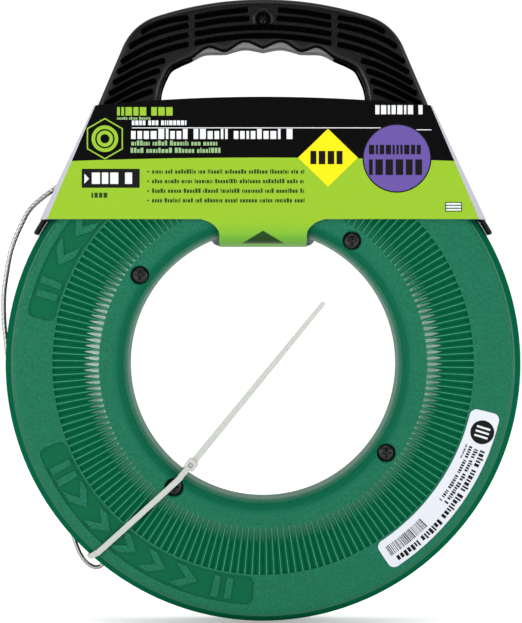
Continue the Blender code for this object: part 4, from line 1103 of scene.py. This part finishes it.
def crimped(name, ends, radius):
    """A steel sleeve pressed in three bands."""
    line = even(ends, 0.0004)

    def pressed(turn, run):
        whole = (Vector(ends[1]) - Vector(ends[0])).length
        bands = max(0, cos(2 * pi * 3 * run / whole))
        tip = min(run, whole - run) / 0.0008
        return radius * (1 - 0.1 * bands * abs(cos(turn))) * (0.9 + 0.1 * min(tip, 1))

    return tube(name, line, radius, 28, STEEL, lobes=pressed)


# ---- sleeve
# The tab down the front, under the hub and up the back, as (share of its root's half width,
# height, depth).
TAB_PATH = (
    (0.985, 0.08885, 0.0334), (0.93, 0.0882, 0.0334), (0.87, 0.0873, 0.0334), (0.81, 0.0858, 0.0334),
    (0.755, 0.0838, 0.0333), (0.722, 0.0818, 0.0332), (0.71, 0.0800, 0.0329), (0.71, 0.0785, 0.0322),
    (0.71, 0.0768, 0.0306), (0.71, 0.0753, 0.0282), (0.71, 0.0742, 0.0240), (0.71, 0.0737, 0.0144),
    (0.71, 0.0736, 0.0), (0.71, 0.0734, -0.0144), (0.71, 0.0734, -0.0265), (0.74, 0.0741, -0.0315),
    (0.84, 0.0760, -0.0334), (0.93, 0.0845, -0.0334), (0.99, 0.0885, -0.0334),
)
# A gusset's bow, as (share of the sleeve's half depth, share of the bow).
HALF_BULGE = ((0.93, 0.22), (0.82, 0.45), (0.72, 0.65), (0.62, 0.8), (0.5, 0.93), (0.41, 1), (0.2, 1))
BULGE = (*HALF_BULGE, (0, 1), *((-deep, out) for deep, out in reversed(HALF_BULGE)))


def panel_row(height, half, bow):
    root = TAB_ROOT_HALF * min(1, half / (1.6 * TAB_ROOT_HALF))
    across = [*np.linspace(-half, -root, 9)[:-1], *np.linspace(-root, root, 17)[:-1],
              *np.linspace(root, half, 9)]
    return [(x, height + bow * (1 - (x / half) ** 2)) for x in across]


def card_sleeve():
    """One folded printed card: two panels, two bowed gussets and a tab back through the hub."""
    low = sqrt(BAND_OUTER**2 - SLEEVE_BOTTOM**2) + SLEEVE_MARGIN
    high = leg_side(SLEEVE_TOP) + 3 * SLEEVE_MARGIN
    points, faces, white, loops = [], [], [], []
    for share in np.linspace(0, 1, 21):
        height = SLEEVE_BOTTOM + (SLEEVE_TOP - SLEEVE_BOTTOM) * share
        middle = low + (high - low) * share
        gusset = GUSSET_BOTTOM + (GUSSET_TOP - GUSSET_BOTTOM) * share
        panel = panel_row(height, middle - gusset, SLEEVE_BOW * share**3)
        loop = [(x, y, SLEEVE_HALF) for x, y in panel]
        loop += [(middle - gusset * (1 - out), height, SLEEVE_HALF * deep) for deep, out in BULGE]
        loop += [(x, y, -SLEEVE_HALF) for x, y in reversed(panel)]
        loop += [(-middle + gusset * (1 - out), height, -SLEEVE_HALF * deep) for deep, out in BULGE]
        loops.append(range(len(points), len(points) + len(loop)))
        points += loop
    wide, deep, count = 33, len(BULGE), len(loops[0])
    for below, above in zip(loops, loops[1:]):
        for k in range(count):
            n = (k + 1) % count
            faces.append((below[k], below[n], above[n], above[k]))
            white.append(wide - 1 <= k < wide + deep or 2 * wide + deep - 1 <= k)
    strip = [list(loops[0])[8:25]]
    path = smoothed(TAB_PATH, 3)
    for share, height, depth in path:
        strip.append(range(len(points), len(points) + 17))
        points += [(x, height, depth) for x in np.linspace(-1, 1, 17) * TAB_ROOT_HALF * share]
    strip.append([loops[0][2 * wide + deep - 1 - k] for k in range(8, 25)])
    for above, below in zip(strip, strip[1:]):
        for k in range(16):
            faces.append((above[k + 1], above[k], below[k], below[k + 1]))
            white.append(False)
    made = place_mesh("printed_sleeve", points, faces, (PRINT_AND_TAB_SHADE, CARD_WHITE))
    for face, plain_white in zip(made.data.polygons, white):
        face.material_index = 1 if plain_white else 0
    tidy_outward(made)
    thick = made.modifiers.new("card", "SOLIDIFY")
    thick.thickness = CARD
    thick.offset = 0
    thick.use_even_offset = True
    thick.material_offset = 1
    thick.material_offset_rim = 1
    angle = about_axis(eyelet_frame()[0])
    slit = sector(RIM_RADIUS + 0.002, RIM_RADIUS + 0.03, angle - 1.0, angle + 5.0, 6)
    combine(made, [(CUT, plain("slit", slit, -SLIT_HALF, SLIT_HALF))])
    hand_over(made, "handle", ["card_sleeve"], 25)


def tidy_outward(made):
    """Turn an open sheet's faces outward: the first panel's face looks to the front."""
    tidy_normals(made)
    if made.data.polygons[4].normal.y > 0:
        made.data.flip_normals()


def words(x, y, end, height, weight=0.55, tall=(0.74, 0.74, 1), run=(3, 9)):
    """Small blocks in a row from x to end, like a line of print seen from afar."""
    made = []
    while x < end:
        for _ in range(CHANCE.randint(*run)):
            wide = height * weight * CHANCE.choice((0.5, 0.9, 1, 1.15))
            if x + wide > end:
                return made
            top = y + height * CHANCE.choice(tall)
            made.append([(x, y), (x + wide, y), (x + wide, top), (x, top)])
            x += wide + height * 0.17
        x += height * 0.42
    return made


def box(x, y, wide, tall):
    return [(x, y), (x + wide, y), (x + wide, y + tall), (x, y + tall)]


def sleeve_print():
    """Generic printing on the front panel: rules, bars, a badge, a diamond and a disc."""
    low = FACE - 0.00001
    second, third = low + INK, low + 2 * INK

    def add(name, outlines, level, finish):
        made = prisms(name, outlines, level, level + INK, finish)
        hand_over(made, "handle")

    def lines(*rows):
        return [mark for row in rows for mark in words(*row)]

    white = [box(-0.0805, 0.1449, 0.153, 0.0005), box(0.0909, 0.1437, 0.0125, 0.0005)]
    white += lines((-0.0806, 0.1468, -0.0452, 0.0029, 0.6, (1,)),
                   (-0.0811, 0.1383, 0.0184, 0.0063, 0.5, (0.78, 0.78, 1)),
                   (0.0690, 0.1535, 0.1016, 0.0056, 0.5, (1,), (7, 8)))
    white += [[(-0.1098, 0.1108), (-0.1069, 0.1139), (-0.1098, 0.1170)]]
    add("sleeve_print_white", white, second, INK_WHITE)
    badge = Vector((-0.0972, 0.1385))
    add("sleeve_print_lime", words(-0.0897, 0.1527, -0.0541, 0.0052, 0.66, (1,), (5, 6)), low,
        INK_LIME)
    for name, loops in (
            ("sleeve_badge_frame", [arc(r, 30, 330, 5, badge) for r in (0.0128, 0.0119)]),
            ("sleeve_badge_coil",
             [arc(r, 0, 350, 35, badge) for r in (0.0082, 0.0060, 0.0050, 0.0028)])):
        hand_over(outline_solid(name, loops, low, low + INK, finish=INK_LIME), "handle")
    sage = lines((-0.0897, 0.1502, -0.0692, 0.0018, 0.5), (-0.0810, 0.1343, -0.0270, 0.0030, 0.5),
                 (-0.0814, 0.1298, -0.0242, 0.0031, 0.5))
    add("sleeve_print_sage", sage, second, INK_SAGE)
    add("sleeve_print_box", [box(-0.1114, 0.1083, 0.0356, 0.0117)], low, INK_BLACK)
    add("sleeve_box_marks", words(-0.1052, 0.1107, -0.0775, 0.0070, 0.62, (1,)), second, INK_WHITE)
    dark = words(-0.1055, 0.1022, -0.0918, 0.0042, 0.55)
    for y in (0.1170, 0.1111, 0.1052, 0.0993):
        dark.append(box(-0.0712, y + 0.0007, 0.0010, 0.0010))
        dark += words(-0.0682, y, 0.0258, 0.0027, 0.46)
    dark += [box(0.1118, 0.0937, 0.0105, 0.0059)]
    add("sleeve_print_dark", dark, low, INK_DARK)
    bars = [box(0.1124, 0.0943 + 0.0018 * k, 0.0093, 0.0011) for k in range(3)]
    add("sleeve_small_mark", bars, second, INK_WHITE)
    heart = Vector((0.0399, 0.1268))
    diamond = [(heart.x + x * 0.0184, heart.y + y * 0.0178)
               for x, y in ((0, -1), (1, 0), (0, 1), (-1, 0))]
    add("sleeve_print_diamond", [diamond], second, INK_YELLOW)
    marks = words(heart.x - 0.0108, heart.y - 0.0040, heart.x + 0.0112, 0.0082, 0.5, (1,), (5, 6))
    add("sleeve_diamond_marks", marks, third, INK_BLACK)
    spot = Vector((0.0823, 0.1265))
    add("sleeve_print_disc_edge", [arc(0.0212, 0, 355, 71, spot)], second, INK_BLACK)
    add("sleeve_print_disc", [arc(0.0204, 0, 355, 71, spot)], third, INK_PURPLE)
    marks = lines(*((spot.x - 0.0172, spot.y + y, spot.x + 0.0180, tall, 0.48, (1,), (11, 12))
                    for y, tall in ((0.0024, 0.0058), (-0.0103, 0.0096))))
    add("sleeve_disc_marks", marks, third + INK, INK_BLACK)


def tab_mark():
    """A dark pointed mark printed down the tab, following its fold."""
    path = [p for p in smoothed(TAB_PATH, 3) if p[2] > 0.0235 and p[1] < 0.0822]
    rows = []
    for here, there in zip(path, path[1:]):
        down, back = there[1] - here[1], there[2] - here[2]
        size = hypot(down, back)
        half = 0.0004 + max(0, 0.0818 - here[1]) * 1.75
        for lift in (CARD / 2 - 0.00001, CARD / 2 + INK):
            rows.append((half, here[1] + lift * back / size, here[2] - lift * down / size))
    points = []
    for (half, y, d), (wide, top, out) in zip(rows[::2], rows[1::2]):
        points += [(-half, y, d), (half, y, d), (wide, top, out), (-wide, top, out)]
    made = place_mesh("sleeve_tab_mark", points, ring_faces(len(rows) // 2, 4), INK_DARK)
    hand_over(tidy_normals(made), "handle")


# ---- cable tie
def tie_section():
    off = TIE_GAP + TIE_THICKNESS / 2
    corner = (0.1554, 0.0294)
    points = [(RIM_RADIUS + off, SLOT_HALF + 0.002), (corner[0] + off * 0.95, corner[1] + off * 0.4),
              (corner[0] - 0.0011, CASE_HALF + off * 0.15), (RING_OUTER, CASE_HALF + off)]
    for turn in (90, 68, 45, 20, 0):
        c, s = cos(radians(turn)), sin(radians(turn))
        size = sqrt((c / HUB_FILLET) ** 2 + (s / HUB_FILLET_DEPTH) ** 2)
        points.append((HUB_TOP_RADIUS - HUB_FILLET * c - off * c / HUB_FILLET / size,
                       CASE_HALF - HUB_FILLET_DEPTH * (1 - s) + off * s / HUB_FILLET_DEPTH / size))
    return points


def strap(name, points, across, tip=False):
    """A ladder strap: two plain rails with teeth between them on its outer face."""
    spots, faces = [], []
    half, thick = TIE_WIDTH / 2, TIE_THICKNESS / 2
    total = len(points) - 1
    for i, point in enumerate(points):
        ahead = (points[min(i + 1, total)] - points[max(i - 1, 0)]).normalized()
        side = (across[i] - ahead * across[i].dot(ahead)).normalized()
        out = side.cross(ahead).normalized()
        end = (1.15 - 0.38 * i / total) * min(1.0, 0.7 + (total - i) * 0.1) if tip else 1.0
        tooth = (0.74, 0.86)[i % 2] if i < total - 24 or not tip else 0.9
        section = ((0.86, 1), (0.64, 1), (0.58, tooth), (-0.58, tooth), (-0.64, 1), (-0.86, 1),
                   (-1, 0.7), (-1, -0.7), (-0.86, -1), (0.86, -1), (1, -0.7), (1, 0.7))
        for w, t in section:
            spots.append(point + side * (half * w * end) - out * (thick * t))
    count = 12
    for i in range(total):
        for k in range(count):
            n = (k + 1) % count
            a, b = i * count, (i + 1) * count
            faces.append((a + k, b + k, b + n, a + n))
    faces.append(tuple(range(count)))
    faces.append(tuple(total * count + k for k in range(count))[::-1])
    return tidy_normals(place_mesh(name, spots, faces, NYLON))


def cable_tie():
    """The tie round the ring and through the leader's eye, with its head and long tail."""
    first, last = TIE_ANGLES
    head_radius = HUB_RADIUS - TIE_HEAD_INSET
    off = TIE_GAP + TIE_THICKNESS / 2
    section = tie_section()
    middle = (RIM_RADIUS + off, 0)
    front = [middle, *section[:5], (HUB_RADIUS + 0.002, CASE_HALF + off * 0.7),
             (head_radius, CASE_HALF - 0.0008)]
    rear = [(r, -d) for r, d in reversed(section)] + [middle]
    start = [(head_radius - 0.0002, CASE_HALF - 0.0036),
             (HUB_RADIUS - off - 0.0018, CASE_HALF - 0.0075), (HUB_RADIUS - off, 0.0116),
             (HUB_RADIUS - off, 0)]
    route = start + rear + front[1:]
    reach = RIM_RADIUS + off - head_radius
    points, across = [], []
    for radius, depth in route:
        turn = radians(first + (last - first) * (RIM_RADIUS + off - radius) / reach)
        points.append(Vector((radius * cos(turn), radius * sin(turn), depth)))
    end = points[-1]
    line = even(smoothed(points, 6), TOOTH_PITCH / 2)
    for p in line:
        p.z = max(min(p.z, CASE_HALF + off), -CASE_HALF - off)
        turn = radians(first + (last - first) * (RIM_RADIUS + off - p.xy.length) / reach)
        across.append(Vector((-sin(turn), cos(turn), 0)))
    made = strap("nylon_tie", line, across)
    ahead = Vector((*polar(1, TIE_TAIL_ANGLE), 0))
    side = Vector((-ahead.y, ahead.x, 0))
    long, wide, tall = TIE_HEAD
    centre = Vector((end.x, end.y, CASE_HALF - 0.0022))

    def flat(x, y):
        return tuple((centre + ahead * x + side * y).xy)

    def corner_loop(grow):
        loop, size = [], TIE_HEAD_CORNER
        for a, b, from_angle in ((1, 1, 0), (-1, 1, 90), (-1, -1, 180), (1, -1, 270)):
            for k in range(5):
                bend = radians(from_angle + 22.5 * k)
                loop.append(flat(a * (long / 2 - size) + (size + grow) * cos(bend),
                                 b * (wide / 2 - size) + (size + grow) * sin(bend)))
        return loop

    low, high = centre.z - tall / 2, centre.z + tall / 2
    loops = [corner_loop(grow) for grow in (-0.0006, -0.0001, 0, 0, -0.0002, -0.0008)]
    levels = (low, low + 0.0003, low + 0.0008, high - 0.0009, high - 0.0003, high)
    head = gathered("head", [layers(loops, levels)])
    well = [flat(x, y) for x, y in
            ((-0.0022, -0.0014), (0.0006, -0.0014), (0.0006, 0.0014), (-0.0022, 0.0014))]
    pawl = [flat(x, y) for x, y in
            ((-0.0012, -0.0009), (0.0002, -0.0009), (0.0002, 0.0009), (-0.0012, 0.0009))]
    base = centre + Vector((0, 0, 0.0004)) + ahead * long * 0.3
    tail = [base + ahead * TIE_TAIL_LENGTH * share + Vector((0, 0, lift)) for share, lift in TIE_TAIL]
    tail = even(smoothed(tail, 8), TOOTH_PITCH / 2)
    free = strap("tail", tail, [side] * len(tail), tip=True)
    combine(made, [(ADD, head), (ADD, free), (CUT, plain("well", well, high - 0.0011, high + 0.002)),
                   (ADD, plain("pawl", pawl, high - 0.0013, high - 0.0005))])
    hand_over(made, "handle", ["cable_tie"], 30)


# ---- grip insert, kept nodes, stage
def grip_insert():
    """The soft strip under the fingers."""
    made = outline_solid("soft_insert", [insert_loop()], -INSERT_HALF, INSERT_HALF, 0.0008, 3, GREY)
    hand_over(made, "handle", ["grip_insert"], 40)


def keep(finish, *names):
    """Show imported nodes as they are, with a detailed finish."""
    for name in names:
        made = frame["nodes"][name]
        made.data.materials.clear()
        made.data.materials.append(finish)


CAMERA_LENS, CAMERA_AT = 184.9, (-0.00125, -2.0, AXIS_Z + 0.0323)


def camera():
    """Level and square on to the case, from two metres."""
    lens = bpy.data.cameras.new("camera")
    lens.lens = CAMERA_LENS
    lens.clip_end = 60
    made = linked("camera", lens)
    made.location = CAMERA_AT
    made.rotation_euler = (pi / 2, 0, 0)
    bpy.context.scene.camera = made
    bpy.context.scene.view_settings.view_transform = "Standard"


def softbox(name, at, size, power):
    """A rectangular light that looks at the case's centre."""
    light = bpy.data.lights.new(name, "AREA")
    light.shape = "RECTANGLE"
    light.size, light.size_y = size
    light.energy = power
    made = linked(name, light)
    made.location = at
    towards = Vector((0, 0, AXIS_Z)) - Vector(at)
    made.rotation_euler = towards.to_track_quat("-Z", "Y").to_euler()


WORLD_FRONT, WORLD_BACK = 0.33, 1.08


def stage():
    """A pale floor under the rim, white surroundings and soft light from both sides and above."""
    half, level = 14.0, AXIS_Z - RIM_RADIUS - 0.0006
    floor = bpy.data.meshes.new("floor")
    floor.from_pydata([(x * half, y * half, level) for x, y in ((-1, -1), (1, -1), (1, 1), (-1, 1))],
                      [], [(0, 1, 2, 3)])
    pale = surface("floor_pale", (0.93, 0.93, 0.93), 0.8, 0.1, 0.0002, 60, 0.01)
    fill(pale.node_tree.nodes["Principled BSDF"], {"Emission Color": (1, 1, 1, 1),
                                                   "Emission Strength": 0.35})
    floor.materials.append(pale)
    linked("floor", floor)
    world = bpy.data.worlds.new("studio")
    bpy.context.scene.world = world
    world.use_nodes = True
    tree = world.node_tree
    link = tree.links.new
    apart = node(tree, "ShaderNodeSeparateXYZ")
    link(node(tree, "ShaderNodeTexCoord").outputs["Generated"], apart.inputs["Vector"])
    tones = node(tree, "ShaderNodeMapRange", From_Min=-0.6, From_Max=0.5, To_Min=WORLD_FRONT,
                 To_Max=WORLD_BACK)
    link(apart.outputs["Y"], tones.inputs["Value"])
    link(tones.outputs["Result"], tree.nodes["Background"].inputs["Strength"])
    tree.nodes["Background"].inputs["Color"].default_value = (1, 1, 1, 1)
    softbox("left_softbox", (-1.7, -0.75, 0.1), (1.1, 1.5), 15.5)
    softbox("right_softbox", (1.7, -0.75, 0.1), (1.1, 1.5), 15.5)
    softbox("top_softbox", (0, -1.2, 1.7), (1.6, 1.0), 13)
    softbox("left_strip", (-1.19, -2.4, AXIS_Z - 0.02), (0.4, 0.75), 25)
    softbox("right_strip", (1.19, -2.4, AXIS_Z + 0.02), (0.3, 0.6), 12)


# ---- assembly
camera()
leader()
shell("front_shell", False)
shell("rear_shell", True)
for number, angle in enumerate(SCREW_ANGLES, 1):
    screw(f"case_screw_{number}", "reel", polar(SCREW_CIRCLE, angle), SCREW_SEAT + FIT, CASE_HEAD,
          CASE_SCREW_LENGTH)
tape_coil()
label()
grip_half("handle_front", 1)
grip_half("handle_rear", -1)
grip_insert()
shoe_left, shoe_right = (polar(SHOE_SCREW[0], a) for a in (180 - SHOE_SCREW[1], SHOE_SCREW[1]))
for name, spot, down in (("handle_screw_top", TOP_SCREW, TOP_SCREW_DEPTH),
                         ("handle_screw_left", shoe_left, SIDE_SCREW_DEPTH),
                         ("handle_screw_right", shoe_right, SIDE_SCREW_DEPTH)):
    seat = GRIP_HALF - down + FIT
    screw(name, "handle", spot, seat, GRIP_HEAD, seat + GRIP_HALF - 0.0031)
card_sleeve()
sleeve_print()
tab_mark()
cable_tie()
keep(GUIDE, "tape_guide", "rim_guide")
keep(STEEL, "tape_lead", "tape_anchor")
keep(SCREW, "anchor_screw")
stage()
